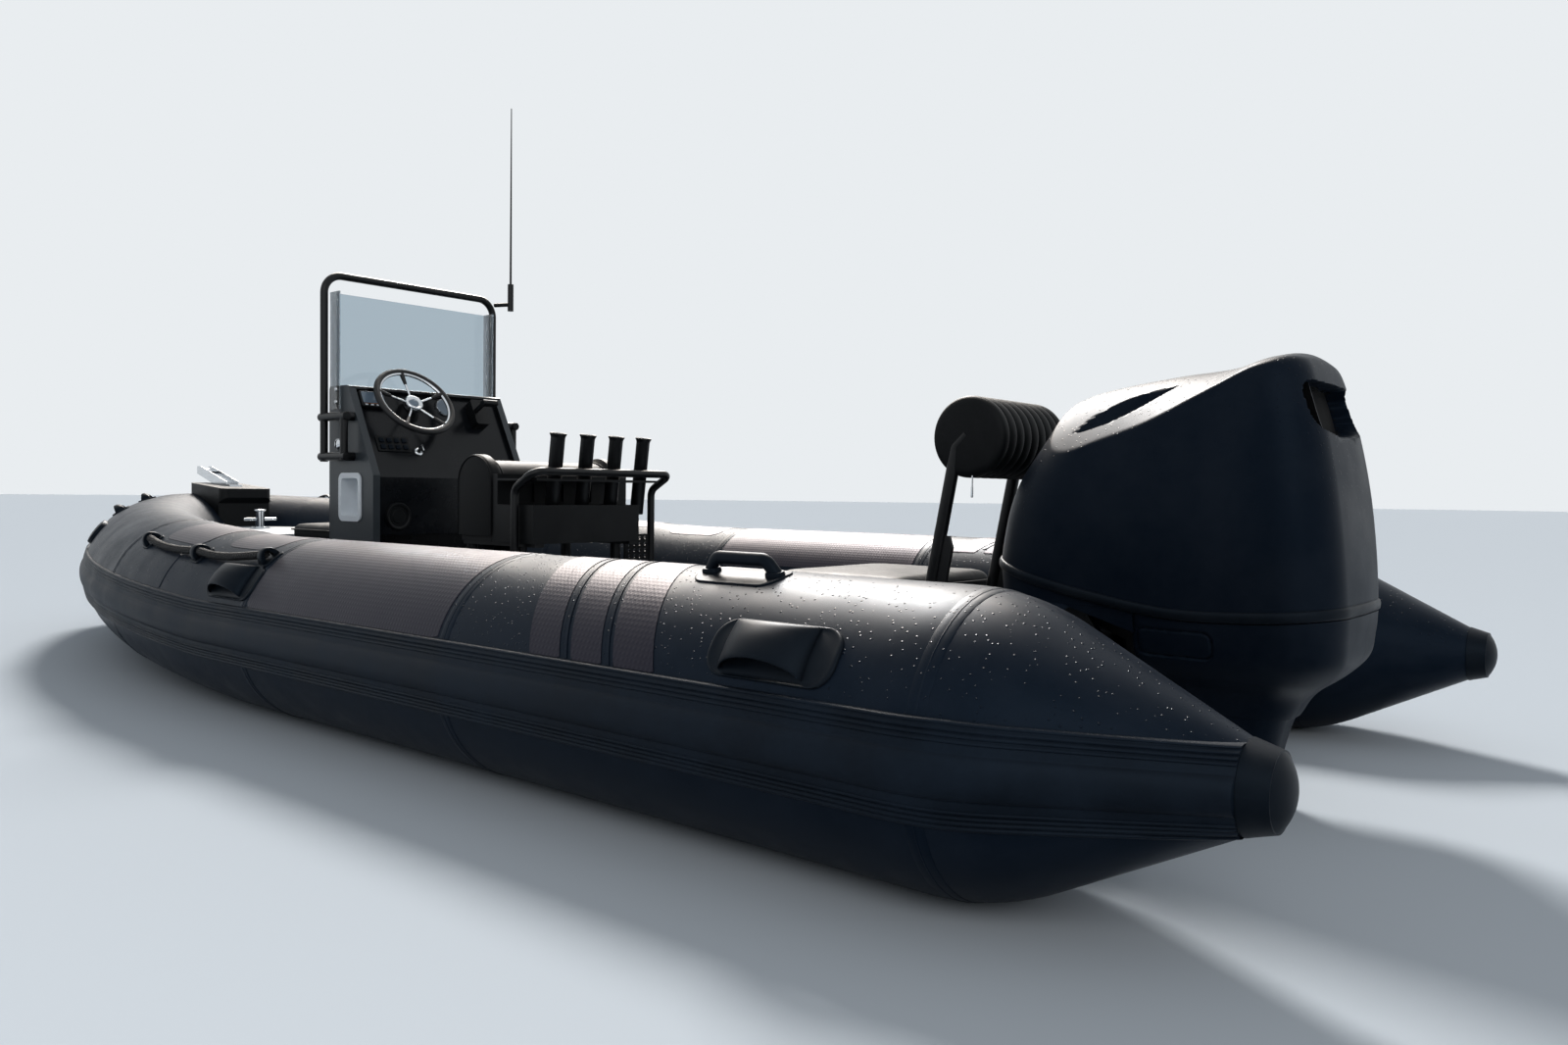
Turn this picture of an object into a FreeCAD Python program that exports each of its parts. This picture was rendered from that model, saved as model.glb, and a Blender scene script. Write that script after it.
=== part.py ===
"""A rigid inflatable boat with its outboard engine, as separate pieces, in millimetres.

+X is forward to the bow, +Y to port and +Z up. The origin is on the centreline, at the waterline,
on the aft face of the transom. Port pieces are modelled and their starboard twins are mirrored.
"""
import FreeCAD, Part
import math
import os

V = FreeCAD.Vector
X = V(1, 0, 0)
Y = V(0, 1, 0)
Z = V(0, 0, 1)
ORIGIN = V(0, 0, 0)

# Clearances
skin = 0.3            # a soft or moving piece stands this far off its seat
running = 6.0         # between pieces that pass each other

# Tubes
tube_r = 270.0        # radius of the air tubes
tube_y = 955.0        # half the spacing of the tube centrelines
tube_z = 270.0        # height of their centreline over the waterline, aft
shoulder_x = -268.0   # where the aft cone starts
cone_end_x = -651.0   # where the cone meets its sleeve
cone_end_r = 72.0
shoulder_r = 430.0    # rounding between tube and cone
sleeve_len = 44.0     # the sleeve that closes the cone
sleeve_lip = 2.5      # how far it stands out past the cone's end
cap_r = 59.0          # the domed end cap
cap_rise = 20.0
rise_x = 2260.0       # where the sheer starts to rise
rise_r = 4000.0
rise_deg = 2.5
turn_r = 4730.0       # centreline radius of the long bow curve
nose_r = 290.0        # centreline radius of the nose
seam_mid_x = 990.0    # joint of the aft and middle chambers
seam_bow_deg = 24.0   # joint of the middle and bow chambers, along the long curve

# Rub strake, heights from the tube's centreline
strake_half = 85.0
strake_t = 7.0
bead_half = 34.0
bead_t = 17.0
rib_t = 10.0
rib_w = 7.0

# Hull and deck
keel_z = -270.0
chine_in = 190.0      # chine's distance inboard of the tube centreline
chine_drop = 262.0    # chine's depth below the tube centreline
chine_flat = 45.0
sole_z = 80.0
sole_t = 8.0
stem_x = 5100.0
transom_t = 50.0
transom_top = 380.0
bow_deck_x = 3660.0   # aft face of the bow locker
bow_deck_z = 490.0

# Console
console_half = 360.0
console_aft = 2822.0
console_fwd = 3155.0
console_top = 1105.0
knee_z = 749.0
brow_x = 3010.0
console_wall = 30.0
dash_recess = 18.0
foot_recess = 150.0
foot_top = 515.0
foot_bottom = 190.0
plinth_z = 538.0
niche = dict(x0=2921.0, x1=3057.0, z0=580.0, z1=740.0, depth=85.0, rim=16.0)
hatch = dict(y=245.0, z=586.0, r=55.0, t=14.0)
display = dict(y=268.0, z=1044.0, w=112.0, h=72.0, t=22.0)

# Helm
wheel_x = 2925.0
wheel_y = 115.0
wheel_z = 1052.0
wheel_r = 173.0
wheel_rim = 13.0
wheel_tilt = 38.0
wheel_dish = 14.0
spoke_r = 6.0
spoke_count = 5
spoke_first = 16.0
hub_r = 38.0
hub_len = 40.0
shaft_r = 11.0
shaft_len = 30.0
bezel_r = 55.0

# Throttle, on the starboard half of the dash
throttle_y = -210.0
throttle_w = 70.0
lever_len = 150.0

# Windscreen and its frame
screen_x = 3140.0
screen_t = 5.0
screen_top = 1482.0
wing_len = 72.0
wing_low = 1011.0
frame_x = 3122.0
frame_y = 400.0
frame_r = 15.0
frame_top = 1550.0
frame_low = 800.0
frame_bend = 75.0
post_x = 2968.0
clamp_r = 17.0
clamp_z = (820.0, 978.0)
knob_r = 24.0
knob_x = 3062.0
knob_z = 870.0

# Whip aerial
whip_x = 3030.0
whip_y = -430.0
whip_top = 2405.0
whip_low = 1500.0

# Seat before the bow locker, and the helm seat
front_seat = dict(x0=3175.0, x1=3640.0, half=300.0, top=470.0)
front_cushion_t = 72.0
seat_aft = 2150.0
seat_len = 179.0
seat_half = 305.0
seat_top = 822.0
bolster_t = 46.0      # the seat's raised ends
bolster_rise = 20.0
seat_base_z = 512.0
pod_top = 640.0
box_aft = 1905.0
box_top = 645.0
box_port = 300.0
box_starboard = -182.0
back_top = 752.0     # the seat's back, above the box
rail_r = 14.0
rail_aft = 1880.0
rail_y = 318.0
rail_z = 760.0
rail_low = 700.0
rail_post_x = 1985.0
leg_r = 19.0
foot_ratio = 1.7      # a foot plate's radius over its leg's
leg_aft_x = 2010.0
shelf_z = 728.0       # a shelf that steadies the rod tubes
shelf_t = 8.0
footrest_x = 1982.0
footrest_drop = 100.0
rod_r = 25.0
rod_bore = 21.0
rod_len = 285.0
rod_x = 1950.0
rod_z = 612.0
rod_lean = 7.5
rod_pitch = 133.0
rod_mid_y = -10.0
rod_count = 4

# Stern seat
stern_aft = 400.0
stern_fwd = 900.0
stern_half = 265.0
stern_box_top = 400.0
lid_t = 20.0
hinge_r = 4.5         # the lid's hinge, along its front edge
hinge_half = 200.0
hinge_x = 905.0
cushion_aft = 442.0
stern_cushion_t = 62.0
roll_x = 300.0
roll_z = 845.0
roll_r = 105.0
roll_half = 177.0
back_y = 165.0
back_r = 17.0
back_foot_x = 415.0
gusset_top = 590.0
gusset_t = 10.0

# Bow fittings
step = dict(x0=4705.0, x1=5060.0, half=130.0, z0=640.0, aft_z=686.0, fwd_z=716.0, foot=95.0, corner=40.0)
bitt_x = 4400.0
bitt_y = 60.0
bitt_r = 22.0
bitt_h = 95.0
bitt_bar_z = 46.0     # its cross bar, over the deck
bitt_bar_r = 7.0
bitt_neck = 3.0       # the post is this much thinner from the bar up
roller = dict(x0=4800.0, x1=5195.0, plate=9.0, rise=92.0, half=32.0, wall=5.0)

# Handles, ropes and eyes
pad_t = 4.0           # thickness of a glued pad
pad_bite = 2.0        # how far a moulding runs into its pad
top_handle = dict(x0=210.0, x1=402.0, around=77.0, lift=30.0, r=9.0)
carry = dict(xs=(88.0, 2162.0), len=290.0, low=21.5, high=46.0, corner=45.0, lift=42.0, strap=66.0, t=7.0,
             span=190.0)
rope = dict(xs=(2070.0, 2500.0, 2950.0), around=(53.0, 49.0, 50.0), sag=3.0, r=12.0, bend=150.0)
bow_eye_size = dict(x=4760.0, z=-90.0, r=13.0, t=12.0)
stern_eye = dict(y=420.0, z=140.0, r=12.0, t=10.0, out=42.0)

# Outboard
tilt_x = 20.0
tilt_z = 410.0
tilt_r = 13.0
steer_x = -135.0
steer_r = 24.0
clamp_half = 130.0
clamp_w = 22.0
cowl_floor = 444.0    # top of the hollow over the clamps
pan_split = -165.0    # the skirt is aft of this, the pan and aprons forward
apron_fwd = 5.0       # the aprons end here, clear of the clamps when tilted and turned
seam_gap = 2.0
SEAM = [(-600, 450), (-420, 432), (-256, 429), (-60, 456), (260, 530)]    # the cowl's lower edge, x and z
lip_h = 24.0          # a raised lip along it
lip_t = 6.0
CROWN = [(-520, 985, 975), (-470, 1016, 982), (-420, 1017, 975), (-330, 997, 930), (-180, 983, 857),
         (-54, 966, 815), (40, 946, 782), (120, 908, 755), (260, 740, 640)]    # x, ridge z, shoulder z
crown_half = 232.0    # where the shoulder line runs
scoop = dict(x0=-215.0, x1=0.0, y0=110.0, y1=185.0, bow=30.0, depth=38.0)
vent = dict(half=158.0, z0=848.0, z1=940.0, depth=52.0, corner=26.0)
prop_z = -440.0
prop_x = -545.0
prop_front = -482.0
prop_shaft_r = 14.0
prop_pitch = 430.0
prop_r = 178.0
prop_hub_r = 55.0
plate_z = -245.0


def box(x0, x1, y0, y1, z0, z1):
    """A block between two corners."""
    return Part.makeBox(x1 - x0, y1 - y0, z1 - z0, V(x0, y0, z0))


def prism_xz(points, y0, y1):
    """A side profile of (x, z) points, carried from y0 to y1."""
    wire = Part.makePolygon([V(x, y0, z) for x, z in points + points[:1]])
    return Part.Face(wire).extrude(V(0, y1 - y0, 0))


def prism_xy(points, z0, z1):
    """A plan of (x, y) points, carried from z0 to z1."""
    wire = Part.makePolygon([V(x, y, z0) for x, y in points + points[:1]])
    return Part.Face(wire).extrude(V(0, 0, z1 - z0))


def rod(start, end, radius):
    """A round bar between two points."""
    run = end - start
    return Part.makeCylinder(radius, run.Length, start, run)


def mirrored(shape):
    """The starboard twin of a port piece."""
    return shape.mirror(ORIGIN, Y)


def both(shape):
    """A port piece and its twin, as two solids of one node."""
    return Part.makeCompound([shape, mirrored(shape)])


def fused(shapes):
    """Touching pieces made one solid."""
    whole = shapes[0].fuse(shapes[1:]) if len(shapes) > 1 else shapes[0]
    return whole.removeSplitter()


def largest(shape):
    """The main solid of a cut piece."""
    return max(shape.Solids, key=lambda s: s.Volume)


def bent_bar(points, radius, bend):
    """A round bar along straight runs, with an arc of radius bend at each corner between them."""
    pieces = []
    start = points[0]
    for here, corner, after in zip(points, points[1:], points[2:]):
        before = (corner - here).normalize()
        ahead = (after - corner).normalize()
        turn = before.getAngle(ahead)
        back = bend * math.tan(turn / 2)
        arc_start = corner - before * back
        normal = before.cross(ahead).normalize()
        centre = arc_start + normal.cross(before) * bend
        pieces.append(rod(start, arc_start, radius))
        disc = Part.Face(Part.Wire(Part.Circle(arc_start, before, radius).toShape()))
        pieces.append(disc.revolve(centre, normal, math.degrees(turn)))
        start = corner + ahead * back
    pieces.append(rod(start, points[-1], radius))
    return fused(pieces)


def rounded(shape, radius, chosen):
    """The shape with the edges that chosen picks rounded."""
    edges = [e for e in shape.Edges if chosen(e)]
    return shape.makeFillet(radius, edges)


def along(direction):
    """Picks straight edges that run in a direction."""
    def chosen(edge):
        if not isinstance(edge.Curve, Part.Line):
            return False
        return abs(edge.Curve.Direction.dot(direction)) > 0.999
    return chosen


# The tube's path: (kind, length or angle, radius), port side, from the shoulder to the nose
turn_deg = math.degrees(math.acos((turn_r - tube_y) / (turn_r - nose_r)))
PATH_MID = [("run", rise_x - seam_mid_x, 0), ("rise", rise_deg, rise_r), ("turn", seam_bow_deg, turn_r)]
PATH_BOW = [("turn", turn_deg - seam_bow_deg, turn_r), ("turn", 90 - turn_deg, nose_r)]


def swept(section, place, path):
    """Carries a face, drawn about the tube's centreline in its own frame, along a path.

    Gives the solids and the placement at the path's end.
    """
    solids = []
    for kind, amount, radius in path:
        face = section.copy()
        face.Placement = place.multiply(section.Placement)
        spin = place.Rotation
        if kind == "run":
            step_on = FreeCAD.Placement(spin.multVec(X) * amount, FreeCAD.Rotation())
            solids.append(face.extrude(spin.multVec(X) * amount))
        else:
            side = V(0, 0, radius) if kind == "rise" else V(0, -radius, 0)
            axis = V(0, -1, 0) if kind == "rise" else V(0, 0, -1)
            centre = place.multVec(side)
            axis = spin.multVec(axis)
            step_on = FreeCAD.Placement(ORIGIN, FreeCAD.Rotation(axis, amount), centre)
            solids.append(face.revolve(centre, axis, amount))
        place = step_on.multiply(place)
    return solids, place


def disc(radius):
    """A round section of the tube."""
    return Part.Face(Part.Wire(Part.Circle(ORIGIN, X, radius).toShape()))


def aft_profile(offset):
    """The aft chamber's outline as a face of (x, radius), grown by offset: tube, shoulder arc and cone."""
    slope = math.atan((tube_r - cone_end_r) / (shoulder_x - cone_end_x))
    back = shoulder_r * math.tan(slope / 2)
    wide = tube_r + offset
    start = V(shoulder_x + back, wide, 0)
    centre = V(start.x, wide - shoulder_r, 0)
    end = centre + V(-math.sin(slope), math.cos(slope), 0) * shoulder_r
    mid = centre + V(-math.sin(slope / 2), math.cos(slope / 2), 0) * shoulder_r
    tip = V(cone_end_x, end.y - (end.x - cone_end_x) * math.tan(slope), 0)
    edges = [
        Part.LineSegment(V(seam_mid_x, 0, 0), V(seam_mid_x, wide, 0)).toShape(),
        Part.LineSegment(V(seam_mid_x, wide, 0), start).toShape(),
        Part.Arc(start, mid, end).toShape(),
        Part.LineSegment(end, tip).toShape(),
        Part.LineSegment(tip, V(tip.x, 0, 0)).toShape(),
        Part.LineSegment(V(tip.x, 0, 0), V(seam_mid_x, 0, 0)).toShape(),
    ]
    return Part.Face(Part.Wire(edges))


def aft_body(offset):
    """The aft chamber, port side, grown by offset."""
    body = aft_profile(offset).revolve(ORIGIN, X, 360)
    body.translate(V(0, tube_y, tube_z))
    return body


def tube_bodies(offset):
    """The three port chambers, aft, middle and bow half, grown by offset."""
    start = FreeCAD.Placement(V(seam_mid_x, tube_y, tube_z), FreeCAD.Rotation())
    mid, seam = swept(disc(tube_r + offset), start, PATH_MID)
    bow, nose = swept(disc(tube_r + offset), seam, PATH_BOW)
    return aft_body(offset), fused(mid), fused(bow), seam, nose


TUBE_AFT, TUBE_MID, TUBE_BOW_HALF, SEAM_PLACE, NOSE_PLACE = tube_bodies(0.0)
GROWN = tube_bodies(skin)[:3]
GROWN_ALL = [piece for shape in GROWN for piece in (shape, mirrored(shape))]
SEAM_MID = FreeCAD.Placement(V(seam_mid_x, tube_y, tube_z), FreeCAD.Rotation())
nose_x = NOSE_PLACE.Base.x
nose_z = NOSE_PLACE.Base.z


def clear_of_tubes(shape):
    """The part of a piece between the tubes, a skin's width off them."""
    return largest(shape.cut(GROWN_ALL))


def inside_plan(z0, z1):
    """The space inboard of the tube centrelines, between two heights."""
    half = [(0.0, 0.0), (0.0, tube_y), (rise_x + rise_r * math.sin(math.radians(rise_deg)), tube_y)]
    start_x = half[-1][0]
    for i in range(1, 9):
        angle = math.radians(turn_deg * i / 8)
        half.append((start_x + turn_r * math.sin(angle), tube_y - turn_r * (1 - math.cos(angle))))
    half.append((nose_x, 0.0))
    port = prism_xy(half, z0, z1)
    return fused([port, mirrored(port)])


def tubes():
    """Five air chambers: two a side and the bow."""
    bow = fused([TUBE_BOW_HALF, mirrored(TUBE_BOW_HALF)])
    return {
        "tube_port_aft": TUBE_AFT,
        "tube_port_mid": TUBE_MID,
        "tube_bow": bow,
        "tube_starboard_mid": mirrored(TUBE_MID),
        "tube_starboard_aft": mirrored(TUBE_AFT),
    }


def cone_caps():
    """The aft cones' closing sleeves, each with its domed end cap."""
    start = cone_end_x
    end = cone_end_x - sleeve_len
    tip = end - cap_rise
    dome_r = (cap_r ** 2 + cap_rise ** 2) / (2 * cap_rise)
    half_turn = math.asin(cap_r / dome_r) / 2
    mid_x = tip + dome_r * (1 - math.cos(half_turn))
    mid_r = dome_r * math.sin(half_turn)
    edges = [
        Part.LineSegment(V(start, 0, 0), V(start, cone_end_r + sleeve_lip, 0)).toShape(),
        Part.LineSegment(V(start, cone_end_r + sleeve_lip, 0), V(end, cap_r + sleeve_lip, 0)).toShape(),
        Part.LineSegment(V(end, cap_r + sleeve_lip, 0), V(end, cap_r, 0)).toShape(),
        Part.Arc(V(end, cap_r, 0), V(mid_x, mid_r, 0), V(tip, 0, 0)).toShape(),
        Part.LineSegment(V(tip, 0, 0), V(start, 0, 0)).toShape(),
    ]
    cap = Part.Face(Part.Wire(edges)).revolve(ORIGIN, X, 360)
    cap.translate(V(0, tube_y, tube_z))
    return both(cap)


def strake_section(low, high, thick):
    """A band on the tube's outer side, from one height to another off its centreline."""
    inner = tube_r + skin
    outer = tube_r + thick

    def on(radius, height):
        return V(0, math.sqrt(radius ** 2 - height ** 2), height)
    mean = (low + high) / 2
    edges = [
        Part.Arc(on(inner, low), on(inner, mean), on(inner, high)).toShape(),
        Part.LineSegment(on(inner, high), on(outer, high)).toShape(),
        Part.Arc(on(outer, high), on(outer, mean), on(outer, low)).toShape(),
        Part.LineSegment(on(outer, low), on(inner, low)).toShape(),
    ]
    return Part.Face(Part.Wire(edges))


def strake():
    """The port rub strake: a flat band, its middle bead and ribs, from the cap to the nose."""
    bands = [(-strake_half, strake_half, strake_t), (-bead_half, bead_half, bead_t)]
    for edge in (strake_half, (strake_half + bead_half + rib_w) / 2):
        bands.append((edge - rib_w, edge, rib_t))
        bands.append((-edge, rib_w - edge, rib_t))
    start = FreeCAD.Placement(V(seam_mid_x, tube_y, tube_z), FreeCAD.Rotation())
    pieces = []
    for low, high, thick in bands:
        section = strake_section(low, high, thick)
        pieces += swept(section, start, PATH_MID + PATH_BOW)[0]
        shrink = (cone_end_r - 2) / strake_half
        shell = aft_body(thick).cut(aft_body(skin))
        wedge = prism_xz([
            (seam_mid_x, tube_z + low), (seam_mid_x, tube_z + high),
            (shoulder_x, tube_z + high), (cone_end_x, tube_z + high * shrink),
            (cone_end_x, tube_z + low * shrink), (shoulder_x, tube_z + low),
        ], tube_y, tube_y + tube_r + 2 * bead_t)
        pieces.append(shell.common(wedge))
    return largest(fused(pieces))


def hull_section(x, keel, chine_y, chine_z, top):
    """A closed half-round of straight lines: keel, chine, its flat, and up to the deck edge."""
    side = [V(x, chine_y, chine_z), V(x, chine_y + chine_flat, chine_z), V(x, chine_y + chine_flat, top)]
    points = [V(x, 0, keel)] + side + [V(x, -p.y, p.z) for p in reversed(side)]
    return Part.makePolygon(points + points[:1])


def hull():
    """The deep-V hull, lofted through its stations and cut to the tubes and the sole."""
    # station x, keel height, distance aft of the chine's tube station, deck edge height
    stations = [
        (0.0, keel_z, sole_z),
        (1600.0, keel_z, sole_z),
        (2900.0, keel_z + 10, sole_z),
        (3900.0, keel_z + 62, 125.0),
        (4600.0, keel_z + 165, 190.0),
    ]
    wires = []
    bend_x = rise_x + rise_r * math.sin(math.radians(rise_deg))
    for x, keel, top in stations:
        angle = math.asin(max(0.0, x - bend_x) / turn_r)
        centre_y = tube_y - turn_r * (1 - math.cos(angle))
        centre_z = tube_z + max(0.0, x - rise_x) * math.tan(math.radians(rise_deg))
        wires.append(hull_section(x, keel, centre_y - chine_in, centre_z - chine_drop, top))
    wires.append(hull_section(stem_x, keel_z + 340, 20.0, nose_z - tube_r - 20, nose_z - tube_r + 30))
    body = Part.makeLoft(wires, True, True)
    above = box(-10, bow_deck_x, -1500, 1500, sole_z, sole_z + 400)
    return clear_of_tubes(body.cut(above))


def deck():
    """The flat sole between transom and bow locker."""
    slab = box(transom_t, bow_deck_x, -900, 900, sole_z, sole_z + sole_t)
    return clear_of_tubes(slab)


def transom():
    """The engine's board across the stern, standing on the hull."""
    board = box(0, transom_t, -tube_y, tube_y, sole_z, transom_top)
    return clear_of_tubes(board)


def bow_deck():
    """The bow locker, its flat top filling the bow between the tubes."""
    block = box(bow_deck_x, nose_x, -tube_y, tube_y, sole_z, bow_deck_z)
    block = block.common(inside_plan(sole_z, bow_deck_z))
    return largest(clear_of_tubes(block).cut(HULL))


def step_z(x):
    """Height of the bow step's sloping top at a station."""
    s = step
    aft = s["x0"] - s["corner"]
    return s["aft_z"] + (s["fwd_z"] - s["aft_z"]) * (x - aft) / (s["x1"] - aft)


def bow_step():
    """The moulded step over the nose, with its foot on the bow deck."""
    s = step
    outline = [
        (s["x0"], bow_deck_z), (s["x0"] + s["foot"], bow_deck_z), (s["x1"], s["z0"] + 20),
        (s["x1"], step_z(s["x1"])), (s["x0"] - s["corner"], step_z(s["x0"] - s["corner"])),
        (s["x0"] - s["corner"], s["z0"]), (s["x0"], s["z0"] - 30),
    ]
    body = prism_xz(outline, -s["half"], s["half"])
    plan = rounded(box(s["x0"] - s["corner"], s["x1"], -s["half"], s["half"], bow_deck_z, s["fwd_z"] + 40),
                   s["corner"], along(Z))
    return clear_of_tubes(body.common(plan))


def anchor_roller():
    """Two stainless cheeks on a base plate, rising forward, with the roller's pin between."""
    r = roller
    aft, fwd = r["x0"], r["x1"] - 170
    top = step_z(fwd)
    low = step_z(aft)
    base = prism_xz([(aft, low), (fwd, top), (fwd, top + r["plate"]), (aft, low + r["plate"])],
                    -r["half"], r["half"])
    cheek = prism_xz([
        (aft + 40, step_z(aft + 40) + 4), (fwd - 20, top), (fwd, top + 4), (r["x1"], top + r["rise"] - 40),
        (r["x1"], top + r["rise"]), (r["x1"] - 40, top + r["rise"]), (aft + 40, step_z(aft + 40) + 24),
    ], r["half"] - r["wall"], r["half"])
    pin_at = V(r["x1"] - 26, 0, top + r["rise"] - 26)
    pin = rod(pin_at - Y * r["half"], pin_at + Y * r["half"], 14)
    return fused([base, cheek, mirrored(cheek), pin])


def mooring_bitt():
    """A round post with a cap and a cross bar, on a base plate, thinner from the bar up."""
    neck_z = bitt_bar_z - bitt_bar_r - 2
    foot = V(bitt_x, bitt_y, bow_deck_z)
    base = Part.makeCylinder(45, 6, foot, Z)
    post = Part.makeCylinder(bitt_r, neck_z, foot, Z)
    neck = Part.makeCylinder(bitt_r - bitt_neck, bitt_h - 8 - neck_z, foot + Z * neck_z, Z)
    cap = Part.makeCylinder(bitt_r + 5, 8, foot + Z * (bitt_h - 8), Z)
    mid = foot + Z * bitt_bar_z
    bar = rod(mid - Y * 80, mid + Y * 80, bitt_bar_r)
    return fused([base, post, neck, cap, bar])


def console():
    """The steering console: side walls, a sloping dash set in between them, and a foot recess."""
    c = console_half
    outline = [
        (console_fwd, sole_z + sole_t), (console_fwd, console_top), (brow_x, console_top),
        (console_aft, knee_z), (console_aft, sole_z + sole_t),
    ]
    body = prism_xz(outline, -c, c)
    body = rounded(body, 14, lambda e: along(Y)(e) and e.BoundBox.ZMin > sole_z + 20)
    inner = c - console_wall
    out, up = dash_normal()
    deep = out * -dash_recess
    a = V(brow_x, 0, console_top) - up * 8
    b = V(console_aft, 0, knee_z)
    recess = prism_xz([(a.x - 60, a.z), (a.x + deep.x, a.z + deep.z), (b.x + deep.x, b.z + deep.z),
                       (b.x + deep.x, foot_bottom), (b.x - 60, foot_bottom), (b.x - 60, b.z)], -inner, inner)
    foot = box(console_aft - 60, console_aft + foot_recess, -inner, inner, foot_bottom, foot_top)
    n = niche
    hole = box(n["x0"], n["x1"], c - n["depth"], c + 10, n["z0"], n["z1"])
    hole = rounded(hole, 20, along(Y))
    return body.cut([recess, foot, hole])


def niche_rim():
    """The white moulded box let into the console's port side, with a rim round its mouth."""
    n = niche
    c = console_half
    outer = rounded(box(n["x0"] - n["rim"], n["x1"] + n["rim"], c + skin, c + 6,
                        n["z0"] - n["rim"], n["z1"] + n["rim"]), 30, along(Y))
    lining = rounded(box(n["x0"] + skin, n["x1"] - skin, c - n["depth"] + skin, c + 6,
                         n["z0"] + skin, n["z1"] - skin), 20 - skin, along(Y))
    wall = 5.0
    hollow = rounded(box(n["x0"] + wall, n["x1"] - wall, c - n["depth"] + wall, c + 10,
                         n["z0"] + wall, n["z1"] - wall), 20 - wall, along(Y))
    return fused([outer, lining]).cut(hollow)


def dash_normal():
    """The dash's own frame: its outward normal and the direction up its slope."""
    up = V(brow_x - console_aft, 0, console_top - knee_z).normalize()
    return V(-up.z, 0, up.x), up


def dash_point(height):
    """A point on the recessed dash face at a height, on the centreline."""
    out, up = dash_normal()
    base = V(console_aft, 0, knee_z) - out * dash_recess
    return base + up * ((height - base.z) / up.z)


def on_dash(shape, y, height):
    """Seats a shape drawn on the XY plane, X up the slope and Z outwards, a skin's width off the dash."""
    out, up = dash_normal()
    turn = FreeCAD.Rotation(up, out.cross(up), out, "ZXY")
    shape.Placement = FreeCAD.Placement(dash_point(height) + out * skin + Y * y, turn)
    return shape


def dash_display():
    """A small instrument with a raised bezel, high on the port side of the dash."""
    d = display
    body = box(-d["h"] / 2, d["h"] / 2, -d["w"] / 2, d["w"] / 2, 0, d["t"])
    body = rounded(body, 8, along(Z))
    glass = box(-d["h"] / 2 + 16, d["h"] / 2 - 7, -d["w"] / 2 + 8, d["w"] / 2 - 8, d["t"] - 2, d["t"] + 1)
    return on_dash(body.cut(glass), d["y"], d["z"])


def console_hatch():
    """A round inspection hatch low on the console's aft face."""
    h = hatch
    seat_x = console_aft - dash_normal()[0].x * dash_recess
    ring = Part.makeCylinder(h["r"], h["t"], V(seat_x, h["y"], h["z"]), -X)
    dish = Part.makeCylinder(h["r"] - 12, 6, V(seat_x - h["t"], h["y"], h["z"]), X)
    return ring.cut(dish)


def wheel_frame():
    """The helm's axis: the hub's place and the direction that faces the helmsman."""
    tilt = math.radians(wheel_tilt)
    return V(wheel_x, wheel_y, wheel_z), V(-math.cos(tilt), 0, math.sin(tilt))


def wheel_shaft(radius):
    """The wheel's shaft, from its hub into the boss."""
    centre, out = wheel_frame()
    hub_at = centre - out * wheel_dish
    return rod(hub_at, hub_at - out * (hub_len / 2 + shaft_len), radius)


def steering_wheel():
    """A round rim on its spokes, the hub dished towards the dash."""
    centre, out = wheel_frame()
    rim = Part.makeTorus(wheel_r - wheel_rim, wheel_rim, centre, out)
    hub_at = centre - out * wheel_dish
    hub = Part.makeCylinder(hub_r, hub_len, hub_at - out * hub_len / 2, out)
    pieces = [rim, hub, wheel_shaft(shaft_r)]
    up = Y.cross(out)
    for i in range(spoke_count):
        turn = math.radians(spoke_first + i * 360 / spoke_count)
        ray = Y * math.cos(turn) + up * math.sin(turn)
        pieces.append(rod(hub_at + ray * (hub_r - 6), centre + ray * (wheel_r - wheel_rim), spoke_r))
    return fused(pieces)


def helm_boss():
    """The steering boss on the dash, with the fixed shaft housing that the wheel turns on."""
    centre, out = wheel_frame()
    near = centre - out * (wheel_dish + hub_len / 2 + 1)
    face = dash_point(wheel_z - 60)
    reach = (near - V(face.x, wheel_y, face.z)).dot(dash_normal()[0])
    boss = Part.makeCylinder(bezel_r * 0.6, reach + 30, near, -out)
    cup = Part.makeCone(bezel_r * 0.6, bezel_r, reach + 10, near - out * 8, -out)
    whole = fused([boss, cup])
    keep = Part.makeBox(400, 400, 300, V(-200, -200, 0))
    keep = on_dash(keep, wheel_y, wheel_z - 60)
    return largest(whole.common(keep)).cut(WHEEL_TOOL)


def throttle():
    """The engine control: a box on the dash and its lever, standing up."""
    body = rounded(box(-60, 60, -throttle_w / 2, throttle_w / 2, 0, 45), 12, along(Z))
    lever = box(-8, 8, throttle_w / 2 - 16, throttle_w / 2 - 4, 20, 45 + lever_len * 0.4)
    knob = box(-12, 12, -throttle_w / 2, throttle_w / 2, 45 + lever_len * 0.4 - 4, 45 + lever_len * 0.4 + 26)
    knob = rounded(knob, 9, along(Y))
    return on_dash(fused([body, lever, knob]), throttle_y, 1010)


def windscreen():
    """An acrylic pane before the console, its two edges folded aft as wings."""
    half = console_half + skin + screen_t
    pane = box(screen_x - screen_t, screen_x, -half, half, console_top + skin, screen_top)
    wing = box(screen_x - wing_len, screen_x, half - screen_t, half, wing_low, screen_top)
    return fused([pane, wing, mirrored(wing)])


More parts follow.
